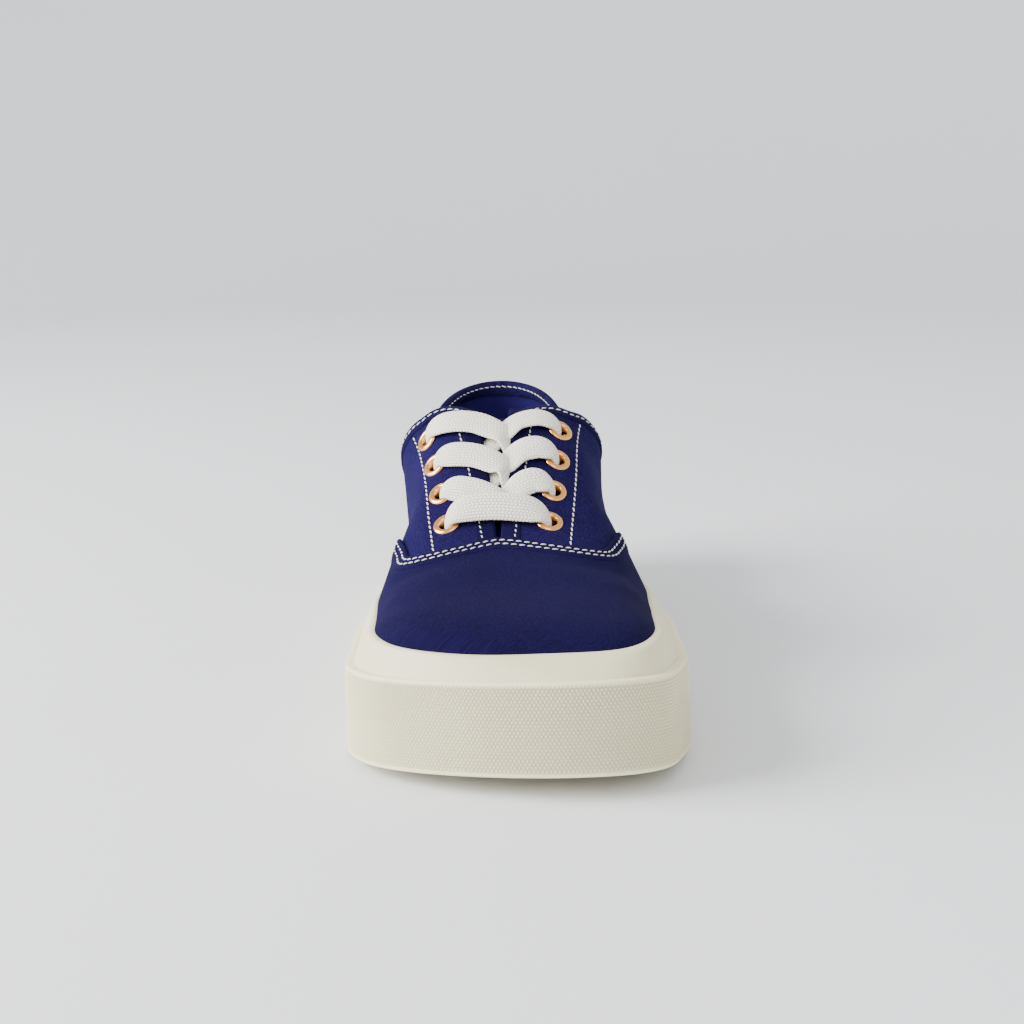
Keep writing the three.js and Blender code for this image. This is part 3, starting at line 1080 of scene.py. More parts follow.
@dataclass(frozen=True)
class Foxing:
    """The smooth rubber band round the shoe, with a rolled lip against the canvas."""

    count: int = 210
    wall: float = 2.7
    lift: float = 1.0
    shoulder: float = 29.1
    lip: float = 1.9
    swell: float = 1.6

    def crossing(self, z_shift: float, grow: float) -> Array:
        """Ring where the grown upper reaches the foxing's top edge.

        Args:
            z_shift: height over the top edge.
            grow: growth of the upper.

        Returns:
            Points of the ring.
        """
        front = LAST.front - grow
        probe = np.linspace(front, front + 30, 6001)
        s = LAST.section(probe, grow)
        over = LAST.feather(probe) + s["rise"] - FOXING_TOP.at(probe, "z") - z_shift
        start = probe[np.argmax(over > 0)]
        back = LAST.back + grow
        d = crowded(start, back, self.count)
        s = LAST.section(d, grow)
        z = FOXING_TOP.at(d, "z") + z_shift
        t = np.clip((z - LAST.feather(d)) / s["rise"], 0, 1)
        k = np.clip(1 - t ** s["power"], 0, 1) ** (1 / s["power"])
        x = np.concatenate([s["crest"] + s["inner"] * k, (s["crest"] - s["outer"] * k)[::-1]])
        dd = np.concatenate([d, d[::-1]])
        return LAST.place(x, dd, np.concatenate([z, z[::-1]]))

    def ring(self, grow: float, height: Callable[[Array], Array], swell: float = 0.0) -> Array:
        """Ring of the plan at a height over the floor."""
        x, d = outline(self.count, grow, swell)
        return LAST.place(x, d, height(d))

    def build(self, palette: Palette) -> bpy.types.Object:
        """Makes the foxing.

        Args:
            palette: the finishes.

        Returns:
            The foxing.
        """
        rings = [self.ring(grow, lambda d, up=up: LAST.spring(d) + self.lift + up)
                 for grow, up in ((-self.wall, 0.0), (-1.0, 0.0), (-0.35, 0.12), (-0.05, 0.5))]
        tall = self.shoulder - self.lift - 0.2
        for share in np.linspace(0.04, 1, 14):
            rings.append(self.ring(0.0, lambda d, share=share: LAST.spring(d) + self.lift + share * tall))
        low = self.ring(0.0, lambda d: LAST.spring(d) + self.shoulder, self.swell)
        rings.append(self.ring(-0.4, lambda d: LAST.spring(d) + self.shoulder - 0.1, self.swell))
        high = self.crossing(0.0, self.lip)
        for w in np.linspace(0, 1, 16):
            flat = 0.78 * w + 0.22 * (1 - math.cos(w * math.pi / 2))
            rise = 0.78 * w + 0.22 * math.sin(w * math.pi / 2)
            ring = low + (high - low) * flat
            ring[:, 2] = low[:, 2] + (high[:, 2] - low[:, 2]) * rise
            rings.append(ring)
        for shift, grow in ((0.35, 1.55), (0.5, 1.1), (0.4, 0.6), (-0.1, 0.25), (-1.2, 0.1)):
            rings.append(self.crossing(shift, grow))
        rings.append(self.ring(-self.wall - 1, lambda d: LAST.feather(d) + 2.0))
        rings.append(self.ring(-self.wall, lambda d: LAST.feather(d) - 1.0))
        mesh = Mesh("Foxing_band")
        grid = np.stack(rings, 1)
        grid = np.concatenate([grid, grid[:1]])
        mesh.grid(grid, lengths(grid), ring=True)
        made = mesh.build(palette.foxing.material(), Slot.FOXING)
        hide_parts("foxing")
        return made


@dataclass(frozen=True)
class ToeStrip:
    """The thick strip round the toe with a moulded diamond knurl."""

    grow: float = 3.0
    flare: float = 0.6
    inner: float = 0.04
    low: float = 0.3
    height: float = 29.0
    end: float = 112.0
    rake: float = 9.0
    step: float = 0.325
    rise: float = 0.525
    knurl: float = 0.6
    up: float = 2.1

    def path(self) -> tuple[Array, Array, Array]:
        """Plan points, outward directions and distances of the strip's line, lateral end first.

        Returns:
            The points, the directions and the distances.
        """
        mid = self.grow + self.flare / 2
        front, back = LAST.strip_thick - mid, self.end + 2
        d = front + (back - front) * (1 - np.cos(np.pi * np.linspace(0, 0.5, 900)))
        half, middle = LAST.plan_half(d, mid), PLAN.at(d, "middle")
        x = np.concatenate([(middle - half)[::-1], (middle + half)[1:]])
        dd = np.concatenate([d[::-1], d[1:]])
        line = np.stack([x, dd], -1)
        s = along(line)
        count = int(s[-1] / self.step)
        t = np.linspace(0, s[-1], count + 1)
        even = np.stack([np.interp(t, s, x), np.interp(t, s, dd)], -1)  # one row per quarter diamond
        tangent = unit(np.gradient(even, axis=0))
        outward = np.stack([-tangent[:, 1], tangent[:, 0]], -1)
        outward *= np.sign((outward * (even - np.array([0, 60]))).sum(-1, keepdims=True))
        return even, outward, t

    @staticmethod
    def wave(along_it: Array, up_it: float) -> Array:
        """Raised diamonds: the lesser of two crossed triangle waves, counted in diamonds.

        Args:
            along_it: diamonds along the strip.
            up_it: diamonds up the strip.

        Returns:
            Heights from 0 to 1.
        """
        both = np.stack([along_it + up_it, along_it - up_it])
        return (2 * np.abs(both - np.floor(both) - 0.5)).min(0)

    def build(self, palette: Palette) -> bpy.types.Object:
        """Makes the strip.

        Args:
            palette: the finishes.

        Returns:
            The strip.
        """
        line, outward, s = self.path()
        centre = s[-1] / 2
        outer = np.arange(1.5, self.height - 0.7, self.rise)
        profile = [(self.inner, self.low, 0.0), (2.4, self.low, 0.0), (3.15, self.low + 0.1, 0.0),
                   (3.45, self.low + 0.4, 0.0), (3.58, self.low + 0.8, 0.0)]
        quarter = np.arange(len(s)) / 4
        for h in outer:
            edge = float(ease(np.array(min(h - 1.0, self.height - 0.4 - h) / 1.4)))
            profile.append((self.grow + self.flare * (1 - h / self.height), h, edge))
        profile += [(3.0, 28.55, 0.0), (2.88, 28.85, 0.0), (2.55, 29.0, 0.0), (1.2, 29.05, 0.0),
                    (self.inner, 29.0, 0.0), (self.inner, 14.0, 0.0)]
        columns, painted_light_marks = [], []
        mid = self.grow + self.flare / 2
        for grow, h, relief in profile:
            end = self.end - self.rake * (h + 17) / 70
            keep = np.interp(end, line[len(line) // 2:, 1], s[len(line) // 2:]) - centre
            t = centre + (s - centre) * (keep / centre)
            x = np.interp(t, s, line[:, 0])
            d = np.interp(t, s, line[:, 1])
            nx = np.interp(t, s, outward[:, 0])
            nd = np.interp(t, s, outward[:, 1])
            tip = ease((keep - np.abs(t - centre)) / 2.5)
            push = grow - mid - 0.5 * (1 - tip) * (relief > 0)
            raised = self.wave(quarter, (h - outer[0]) / self.up)
            push = push + self.knurl * relief * tip * (raised - 0.5)
            # Groove depth between the diamonds; the rubber finish darkens the colour by it, painted shade
            # in the grooves.
            painted_light_marks.append(relief * tip * (1 - raised))
            columns.append(LAST.place(x + nx * push, d + nd * push, LAST.spring(d) + h))
        mesh = Mesh("Toe_strip")
        grid = np.stack(columns, 1)
        mesh.grid(grid, lengths(grid), ring=True, painted_light_mark=np.stack(painted_light_marks, 1))
        for end in (0, -1):
            mesh.cap(grid[end])
        made = mesh.build(palette.strip.material(), Slot.STRIP, sharp=80.0)
        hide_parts("toe_strip")
        return made


@dataclass(frozen=True)
class Sole:
    """The slab between the foxing, with a waved tread underneath."""

    inset: float = 3.0
    arch: float = 1.3
    tread: float = 1.1
    pitch: float = 6.4
    rows: int = 320
    columns: int = 90

    def floor(self, d: Array, x: Array, edge: Array) -> Array:
        """Height of the underside: spring and arch, cut by waved grooves away from the edge.

        Args:
            d: stations.
            x: sideways places.
            edge: distances from the rim of the sole.

        Returns:
            Heights over the floor.
        """
        t = np.clip((d - 138) / 54, 0, 1)
        base = LAST.spring(d) + self.arch * np.sin(np.pi * t) ** 2
        wave = np.cos(2 * np.pi * (d + 2.4 * np.cos(2 * np.pi * x / 13.0)) / self.pitch)
        groove = ease((wave + 0.15) / 0.5)
        return base + self.tread * groove * ease((edge - 4.0) / 0.8)

    def build(self, palette: Palette) -> bpy.types.Object:
        """Makes the sole.

        Args:
            palette: the finishes.

        Returns:
            The sole.
        """
        grow = -self.inset
        front, back = LAST.strip_thick - grow, LAST.length + grow
        even = front + (back - front) * np.linspace(0, 1, self.rows)
        d = 0.75 * even + 0.25 * crowded(front, back, self.rows)
        half, middle = LAST.plan_half(d, grow), PLAN.at(d, "middle")
        w = np.sin(np.linspace(-np.pi / 2, np.pi / 2, self.columns))
        w = 0.3 * w + 0.7 * np.linspace(-1, 1, self.columns)
        x = middle[:, None] + half[:, None] * w
        dd = np.broadcast_to(d[:, None], x.shape)
        ends = np.minimum(dd - front, back - dd)
        edge = np.minimum(half[:, None] * (1 - np.abs(w)), ends)
        z = self.floor(dd, x, edge) + (1 - ease(edge)) ** 2
        under = LAST.place(x, dd, z)
        over = LAST.place(x, dd, LAST.feather(dd) - 0.3)
        mesh = Mesh("Sole_slab")
        grid = np.concatenate([under, over[:, ::-1]], 1)
        mesh.grid(grid, lengths(grid), ring=True)
        made = mesh.build(palette.sole.material(), Slot.SOLE)
        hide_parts("sole")
        return made


def ruled(bottom: SurfaceCurve, top: SurfaceCurve, rows: int, grow: float) -> Array:
    """A grid of points between two curves on the upper with equally many points.

    Args:
        bottom: the first curve.
        top: the last curve.
        rows: how many points go from one to the other.
        grow: growth outwards from the last.

    Returns:
        The grid.
    """
    t = np.linspace(0, 1, rows)
    u = bottom.u[:, None] * (1 - t) + top.u[:, None] * t
    v = bottom.v[:, None] * (1 - t) + top.v[:, None] * t
    return LAST.point(u, v, grow)


def smoothed(values: Array, reach: float) -> Array:
    """Values averaged with their neighbours, the ends held still.

    Args:
        values: the values in order.
        reach: width of the averaging bell.

    Returns:
        The averaged values.
    """
    n = len(values)
    k = np.arange(-n, n + 1)
    bell = np.exp(-((k / reach) ** 2))
    padded = np.concatenate([2 * values[0] - values[1:][::-1], values, 2 * values[-1] - values[:-1][::-1]])
    return np.convolve(padded, bell / bell.sum(), mode="same")[n - 1:2 * n - 1]


@dataclass(frozen=True)
class Corner:
    """The rounded corner between a throat edge and the collar.

    It leaves the throat edge at the first station and runs out sideways to the collar at the last
    one, as a quarter of a superellipse: each share of the way back and the rest of the way
    sideways, raised to the roundness, add up to one.
    """

    first: float
    last: float
    aside: float
    roundness: float = 1.7

    def curve(self, side: Side, count: int = 90) -> SurfaceCurve:
        """The corner as a curve on the last.

        Args:
            side: the side of the shoe.
            count: how many points it has.

        Returns:
            The curve, from the throat edge outwards.
        """
        out = (1 - np.cos(np.pi * np.linspace(0, 1, count))) / 2
        back = (1 - (1 - out) ** self.roundness) ** (1 / self.roundness)
        d = self.first + (self.last - self.first) * back
        near = float(THROAT.at(self.first, "half"))
        return SurfaceCurve(LAST.u_of(d), LAST.v_aside(d, side.value * (near + (self.aside - near) * out)))


@dataclass(frozen=True)
class Edges:
    """The lines that the upper is cut along."""

    lateral: Corner = Corner(147.0, 158.5, 25.0)
    medial: Corner = Corner(144.5, 156.0, 27.0)
    start: float = 160.0
    count: int = 120

    def side_of(self, side: Side) -> dict[str, SurfaceCurve]:
        """The throat edge and the collar edge of one side, from the toe to the heel seam.

        Args:
            side: the side of the shoe.

        Returns:
            The curves by name: throat and rim.
        """
        turn = self.medial if side is Side.MEDIAL else self.lateral
        d = np.linspace(THROAT_FOOT, turn.first, self.count)
        throat = SurfaceCurve(LAST.u_of(d), LAST.v_aside(d, side.value * THROAT.at(d, "half")))
        corner = turn.curve(side)
        u = np.linspace(float(LAST.u_of(self.start)), 1, 300)
        collar = SurfaceCurve(u, LAST.v_height(LAST.station(u), COLLAR.at(LAST.station(u), "z"), side))
        join = SurfaceCurve(np.array([corner.u[-1], collar.u[0]]), np.array([corner.v[-1], collar.v[0]]))
        mend = corner.joined(join).joined(collar).resample(0.8)
        mend = SurfaceCurve(smoothed(mend.u, 2.5), smoothed(mend.v, 2.5))
        return {"throat": throat, "rim": mend}

    def rim(self) -> SurfaceCurve:
        """The whole collar edge from one throat corner round the heel to the other.

        Returns:
            The curve, medial side first.
        """
        medial = self.side_of(Side.MEDIAL)["rim"].resample(0.9)
        lateral = self.side_of(Side.LATERAL)["rim"].resample(0.9)
        back = lateral.reversed()
        return medial.joined(SurfaceCurve(back.u[1:], back.v[1:]))

    def vamp(self, side: Side) -> SurfaceCurve:
        """The vamp's rear edge on one side, from the crest down.

        Args:
            side: the side of the shoe.

        Returns:
            The curve.
        """
        ways = spline(VAMP_EDGE[side].rows, 220)
        curve = SurfaceCurve(LAST.u_of(ways[:, 0]), np.radians(ways[:, 1]))
        return curve.resample(0.7)

    def vamp_line(self) -> SurfaceCurve:
        """The vamp's whole rear edge, medial side first.

        Returns:
            The curve.
        """
        lateral = self.vamp(Side.LATERAL)
        whole = self.vamp(Side.MEDIAL).reversed().joined(SurfaceCurve(lateral.u[1:], lateral.v[1:]))
        return whole.resample(0.8)


EDGES = Edges()


@dataclass(frozen=True)
class Shell:
    """The hollow canvas upper: outside, lining, rim and the holes for the eyelets."""

    wall: float = 1.9
    rows: int = 56
    step: float = 0.95
    drill: float = 3.0

    def side_grids(self, side: Side) -> tuple[Array, Array]:
        """Outside and inside grids of one side.

        Args:
            side: the side of the shoe.

        Returns:
            The outside grid and the inside grid.
        """
        lines = EDGES.side_of(side)
        crest = np.linspace(0, float(LAST.u_of(THROAT_FOOT)), EDGES.count)
        front = SurfaceCurve(crest, np.full(EDGES.count, np.pi / 2))
        top = front.joined(lines["throat"]).joined(lines["rim"]).resample(self.step)
        d = LAST.station(smoothed(top.u, 9.0))
        d[0], d[-1] = LAST.front, LAST.back
        base = 0.0 if side is Side.MEDIAL else np.pi
        bottom = SurfaceCurve(LAST.u_of(d), np.full(len(d), base))
        return ruled(bottom, top, self.rows, 0.0), ruled(bottom, top, self.rows, -self.wall)

    def build(self, palette: Palette, places: Sequence["EyeletPlace"]) -> bpy.types.Object:
        """Makes the upper.

        Args:
            palette: the finishes.
            places: the eyelets' places.

        Returns:
            The upper.
        """
        mesh = Mesh("Canvas_upper")
        for side in Side:
            outside, inside = self.side_grids(side)
            edge = np.linspace(0, np.pi, 7)[1:-1]
            middle, half = (outside[:, -1] + inside[:, -1]) / 2, (outside[:, -1] - inside[:, -1]) / 2
            up = unit(outside[:, -1] - outside[:, -2])
            lip = [middle + half * math.cos(a) + up * math.sin(a) * 0.5 for a in edge]
            grid = np.concatenate([outside, np.stack(lip, 1), inside[:, ::-1]], 1)
            # Marks the rolled lip and the lining with 1, for the painted light that the quarters' finish
            # puts on them.
            within = np.zeros(grid.shape[:2])
            within[:, outside.shape[1]:] = 1.0
            mesh.grid(grid, lengths(grid), ring=True, painted_light_mark=within)
        made = mesh.build(palette.shell.material(), Slot.CANVAS)
        self.cut(made, places)
        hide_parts("upper")
        return made

    def cut(self, made: bpy.types.Object, places: Sequence["EyeletPlace"]) -> None:
        """Drills the eyelet holes.

        Args:
            made: the upper.
            places: the eyelets' places.
        """
        tools = Mesh("drills")
        turn = circle(32)
        for place in places:
            rings = []
            for radius, h in ((0.01, -6), (self.drill, -6), (self.drill, 6), (0.01, 6)):
                flat = np.stack([np.cos(turn) * radius, np.sin(turn) * radius, np.full(32, h)], -1)
                rings.append(place.put(flat))
            tools.grid(np.stack(rings, 0), ring=True)
        drills = tools.build(made.data.materials[0], Slot.CANVAS)
        cut = made.modifiers.new("holes", "BOOLEAN")
        cut.object = drills
        cut.operation = "DIFFERENCE"
        cut.solver = "EXACT"
        shape = made.evaluated_get(bpy.context.evaluated_depsgraph_get())
        drilled = bpy.data.meshes.new_from_object(shape)
        made.modifiers.clear()
        made.data = drilled
        bpy.data.objects.remove(drills)
        LOG.info("drilled upper: %d faces", len(drilled.polygons))


@dataclass(frozen=True)
class VampEnd:
    """How one end of the vamp stands off: a bell round a station and a turn in degrees."""

    height: float
    d: float
    reach: float
    turn: float
    spread: float


VAMP_ENDS = (VampEnd(0.7, 109, 8, 144, 9), VampEnd(0.8, 107, 9, 40, 8))


def stand(u: Array, v: Array) -> Array:
    """How far the ends of the vamp stand off the quarters.

    Args:
        u: places along the upper, 0 at the toe to 1 at the heel.
        v: turns over the section.

    Returns:
        Distances in millimetres.
    """
    d, turn = LAST.station(u), np.degrees(v)
    total = 0.0
    for end in VAMP_ENDS:
        away = ((d - end.d) / end.reach) ** 2 + ((turn - end.turn) / end.spread) ** 2
        total = total + end.height * np.exp(-away)
    return total


@dataclass(frozen=True)
class Vamp:
    """The toe panel laid over the quarters, with a doubled and stitched rear edge."""

    lift: float = 0.6
    rows: int = 60
    columns: int = 90
    hem: float = 6.5

    def build(self, palette: Palette) -> list[bpy.types.Object]:
        """Makes the panel and its folded hem.

        Args:
            palette: the finishes.

        Returns:
            The panel and the hem.
        """
        whole = EDGES.vamp_line()
        inner = whole.resample(1.2).offset(0.8)
        t = np.linspace(0, 1, self.columns) ** 0.8
        u = inner.u[:, None] * t
        v = np.broadcast_to(inner.v[:, None], u.shape)
        away = stand(u, v)
        over, under = LAST.point(u, v, self.lift + away), LAST.point(u, v, 0.05 + away * 0.9)
        grid = np.concatenate([over, under[:, ::-1]], 1)
        mesh = Mesh("Vamp_panel")
        mesh.grid(grid, lengths(grid), ring=True)
        panel = mesh.build(palette.canvas.material(), Slot.CANVAS)
        hem = Mesh("Vamp_hem")
        band(hem, whole, ((self.hem, 0.7), (self.hem - 0.8, 0.86), (4.4, 1.05), (2.4, 0.98),
                          (1.0, 1.15), (0.35, 1.1), (0.0, 0.8), (-0.05, 0.4), (0.1, 0.05),
                          (self.hem, 0.3)), stand)
        fold = hem.build(palette.canvas.material(), Slot.CANVAS)
        return [panel, fold]


@dataclass(frozen=True)
class Stitches:
    """Rows of lock stitches."""

    pitch: float = 2.75
    length: float = 2.15
    wide: float = 0.58
    high: float = 0.44
    tilt: float = 10.0
    sink: float = 0.12
    inside_rise: float = 0.55
    margin: float = 4.0
    widening: float = 60.0

    def upright(self, side: Side, d: Array, aside: Array) -> SurfaceCurve:
        """A row that goes up the front of one side.

        Args:
            side: the side of the shoe.
            d: stations of the row.
            aside: how far it stands from the crest at each of them.

        Returns:
            The row's line on the last.
        """
        return SurfaceCurve(LAST.u_of(d), LAST.v_aside(d, side.value * aside))

    def throat_line(self, side: Side) -> SurfaceCurve:
        """The row beside the throat: its margin to the edge doubles over the widening length.

        Args:
            side: the side of the shoe.

        Returns:
            The row's line on the last.
        """
        d = np.linspace(92.5, 144, 60)
        margin = self.margin * (1 + (d - THROAT_FOOT) / self.widening)
        return self.upright(side, d, THROAT.at(d, "half") + margin)

    def stay_line(self, side: Side) -> SurfaceCurve:
        """The row outside the eyelets, straight from the vamp to the collar tape.

        Args:
            side: the side of the shoe.

        Returns:
            The row's line on the last.
        """
        low, high, end = (24, 31, 153.5) if side is Side.MEDIAL else (22, 28, 155.5)
        d = np.linspace(90.5, end, 70)
        return self.upright(side, d, low + (high - low) * (d - 90) / 67)

    def row(self, mesh: Mesh, curve: SurfaceCurve, lift: float, off: bool = False) -> None:
        """Adds one row: each stitch is a flattened bean lying along the curve.

        Args:
            mesh: where the stitches go.
            curve: the line that they follow.
            lift: height over the last.
            off: whether the row stands off with the ends of the vamp.
        """
        line = curve.resample(self.pitch)
        tangent, side, normal = line.frames()
        away = stand(line.u, line.v) if off else 0.0
        points = LAST.point(line.u, line.v, lift + away)
        lean = math.radians(self.tilt)
        rng = np.random.default_rng(7)
        turn = circle(8)
        for p, t, w, n in zip(points, tangent, side, normal):
            a = lean + rng.normal(0, 0.05)
            t, w = t * math.cos(a) + w * math.sin(a), w * math.cos(a) - t * math.sin(a)
            rings = []
            for q in np.linspace(-1, 1, 7):
                body = math.sqrt(max(1 - abs(q) ** 3, 0.0004))
                arch = (1 - q * q) * 0.12 - self.sink
                ring = p + t * (q * self.length / 2) + n * arch
                ring = ring + np.outer(np.cos(turn) * self.wide / 2 * body, w)
                ring = ring + np.outer(np.sin(turn) * self.high / 2 * body, n)
                rings.append(ring)
            grid = np.stack(rings, 0)
            mesh.grid(grid, lengths(grid), ring=True)

    def build(self, palette: Palette) -> bpy.types.Object:
        """Makes every row of stitches.

        Args:
            palette: the finishes.

        Returns:
            The stitches, as one piece.
        """
        mesh = Mesh("Stitching")
        for width in (1.8, 4.0):
            self.row(mesh, EDGES.vamp_line().offset(width), 1.12, True)
        for side in Side:
            self.row(mesh, self.throat_line(side), 0.12)
            self.row(mesh, self.stay_line(side), 0.12)
        for side in Side:
            rim = EDGES.side_of(side)["rim"]
            rim = rim if side is Side.MEDIAL else rim.reversed()
            self.row(mesh, rim.offset(-2.5), 0.92)
            self.row(mesh, rim.offset(self.inside_rise), -2.3)
        return mesh.build(palette.thread.material(), Slot.CANVAS, merge=1e-7)


@dataclass(frozen=True)
class Binding:
    """The tape folded over the collar edge."""

    outside: float = 4.5
    inside: float = 3.2

    def build(self, palette: Palette) -> bpy.types.Object:
        """Makes the tape.

        Args:
            palette: the finishes.

        Returns:
            The tape.
        """
        profile = (
            (-self.outside, 0.05), (-self.outside - 0.05, 0.45), (-self.outside + 0.4, 0.78),
            (-2.7, 0.82), (-1.2, 0.86), (0.1, 0.7), (0.85, 0.1), (1.1, -0.9), (0.9, -1.9),
            (0.1, -2.6), (-1.2, -2.8), (-self.inside + 0.3, -2.75), (-self.inside, -2.4),
            (-self.inside, -1.95), (-0.4, -1.6), (-0.3, -0.3),
        )
        mesh = Mesh("Collar_binding")
        band(mesh, EDGES.rim(), profile)
        return mesh.build(palette.binding.material(), Slot.CANVAS, sharp=70.0)


@dataclass(frozen=True)
class FacingHem:
    """The turned edge of the canvas along the throat."""

    wide: float = 6.6

    def build(self, palette: Palette) -> bpy.types.Object:
        """Makes both hems.

        Args:
            palette: the finishes.

        Returns:
            The hems, as one piece.
        """
        mesh = Mesh("Facing_hems")
        for side in Side:
            d = np.linspace(88.5, 152.0, 90)
            aside = THROAT.at(d, "half")
            curve = SurfaceCurve(LAST.u_of(d), LAST.v_aside(d, side.value * aside)).resample(0.9)
            s = side.value
            profile = ((-s * 0.45, -1.0), (-s * 0.4, -0.3), (-s * 0.1, 0.22), (s * 0.6, 0.34),
                       (s * 5.4, 0.2), (s * (self.wide - 0.5), 0.3), (s * self.wide, 0.05),
                       (s * self.wide, -0.6), (s * 0.4, -2.25), (-s * 0.2, -1.8))
            band(mesh, curve, tuple((-w, h) for w, h in profile))
        return mesh.build(palette.canvas.material(), Slot.CANVAS)


@dataclass(frozen=True)
class Tongue:
    """The canvas tongue under the lace."""

    top: float = -4.6
    thick: float = 2.0
    front: float = 78.0
    back: float = 156.0

    def build(self, palette: Palette) -> bpy.types.Object:
        """Makes the tongue: a slab with rounded edges and rounded top corners.

        Args:
            palette: the finishes.

        Returns:
            The tongue.
        """
        d = np.linspace(self.front, self.back, 110)
        corner = np.clip((d - (self.back - 9)) / 9, 0, 1)
        half = TONGUE_HALF.at(d, "half") * (1 - 0.28 * (1 - np.sqrt(1 - corner**2 * 0.98)))
        turn = circle(96)
        c, s = np.cos(turn), np.sin(turn)
        w = np.sign(c) * np.abs(c) ** 0.35
        h = np.sign(s) * np.abs(s) ** 0.55
        ends = np.minimum(np.clip((d - self.front) / 1.0, 0, 1), np.clip((self.back - d) / 1.0, 0, 1))
        puff = np.sqrt(np.clip(1 - (1 - ends) ** 2, 0.02, 1))
        aside = half[:, None] * w
        grow = self.top - self.thick / 2 + self.thick / 2 * h * puff[:, None]
        dd = np.broadcast_to(d[:, None], aside.shape)
        points = LAST.point(LAST.u_of(dd), LAST.v_aside(dd, aside), grow)
        mesh = Mesh("Tongue_pad")
        mesh.grid(points, lengths(points), ring=True)
        for end in (0, -1):
            mesh.cap(points[end])
        made = mesh.build(palette.lining.material(), Slot.TONGUE)
        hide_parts("tongue")
        return made


@dataclass(frozen=True)
class Insole:
    """The cloth-covered foot bed."""

    grow: float = -2.7
    thick: float = 3.0

    def build(self, palette: Palette) -> bpy.types.Object:
        """Makes the insole: a slightly dished slab with a rounded edge.

        Args:
            palette: the finishes.

        Returns:
            The insole.
        """
        front, back = LAST.front - self.grow + 0.2, LAST.back + self.grow - 0.2
        d = crowded(front, back, 160)
        s = LAST.section(d, self.grow)
        w = np.sin(np.linspace(-np.pi / 2, np.pi / 2, 60))
        left, right = s["crest"] - s["outer"], s["crest"] + s["inner"]
        x = left[:, None] + (right - left)[:, None] * (w + 1) / 2
        dd = np.broadcast_to(d[:, None], x.shape)
        edge = np.minimum((1 - np.abs(w)) * ((right - left) / 2)[:, None],
                          np.minimum(dd - front, back - dd))
        dish = 0.9 * ease(edge / 22)
        over = LAST.place(x, dd, LAST.feather(dd) + self.thick - 0.8 * (1 - ease(edge / 1.2)) - dish)
        under = LAST.place(x, dd, LAST.feather(dd))
        grid = np.concatenate([over, under[:, ::-1]], 1)
        mesh = Mesh("Insole_cloth")
        mesh.grid(grid, lengths(grid), ring=True)
        made = mesh.build(palette.lining.material(), Slot.INSOLE)
        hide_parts("insole")
        return made


@dataclass(frozen=True)
class EyeletPlace:
    """Where one eyelet stands."""

    row: int
    side: Side
    d: float
    aside: float

    def put(self, flat: Array) -> Array:
        """Moves points from the eyelet's own axes onto the upper.

        Args:
            flat: points in the eyelet's own axes, the last one outwards.

        Returns:
            Points in the shoe's frame.
        """
        u, v = LAST.u_of(np.array([self.d])), LAST.v_aside(np.array([self.d]), np.array([self.aside]))
        pu, _, normal = LAST.jacobian(u, v)
        y = unit(pu[0] - normal[0] * (pu[0] @ normal[0]))
        n = unit(normal[0] - 0.07 * y + np.array([0.06 * self.side.value, 0.0, 0.0]))
        y = unit(y - n * (y @ n))
        x = np.cross(y, n)
        return LAST.point(u, v)[0] + flat @ np.stack([x, y, n])


@dataclass(frozen=True)
class Eyelets:
    """The four pairs of metal eyelets."""

    lateral: tuple[float, float] = (101.5, 146.3)
    medial: tuple[float, float] = (100.2, 142.7)
    rows: int = 4
    flange: float = 4.85
    hole: float = 2.5
    barrel: float = 2.85
    wall: float = 1.9

    def places(self) -> list[EyeletPlace]:
        """Every eyelet's place, row 1 nearest the toe.

        Returns:
            The places, row by row.
        """
        found = []
        for row in range(self.rows):
            for side in Side:
                first, last = self.medial if side is Side.MEDIAL else self.lateral
                d = first + (last - first) * row / (self.rows - 1)
                found.append(EyeletPlace(row + 1, side, d, side.value * float(THROAT.at(d, "eyelet"))))
        return found

    def build(self, palette: Palette) -> list[bpy.types.Object]:
        """Makes the eyelets: each is a turned ring with a domed flange and a rolled foot.

        Args:
            palette: the finishes.

        Returns:
            The eyelets, row by row.
        """
        profile = ((self.hole, -2.6), (self.hole, -0.4), (2.56, 0.2), (2.75, 0.62), (3.05, 0.92),
                   (3.5, 1.06), (4.05, 1.0), (4.5, 0.8), (4.78, 0.5), (self.flange, 0.2),
                   (4.7, 0.0), (self.barrel, 0.1), (self.barrel, -2.0), (3.7, -2.1), (3.75, -2.35),
                   (3.3, -2.6), (2.8, -2.75))
        turn = circle(64)
        material = palette.eyelet.material()
        made = []
        for place in self.places():
            rings = []
            for radius, h in profile:
                rings.append(np.stack([np.cos(turn) * radius, np.sin(turn) * radius,
                                       np.full(64, h)], -1))
            rings.append(rings[0])
            points = place.put(np.stack(rings, 0).reshape(-1, 3)).reshape(-1, 64, 3)
            mesh = Mesh(f"Eyelet_{place.side.name.lower()}_{place.row}")
            mesh.grid(points, lengths(points), ring=True)
            ring = mesh.build(material, Slot.EYELET)
            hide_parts(f"eyelet_{place.side.name.lower()}_{place.row}")
            made.append(ring)
        return made


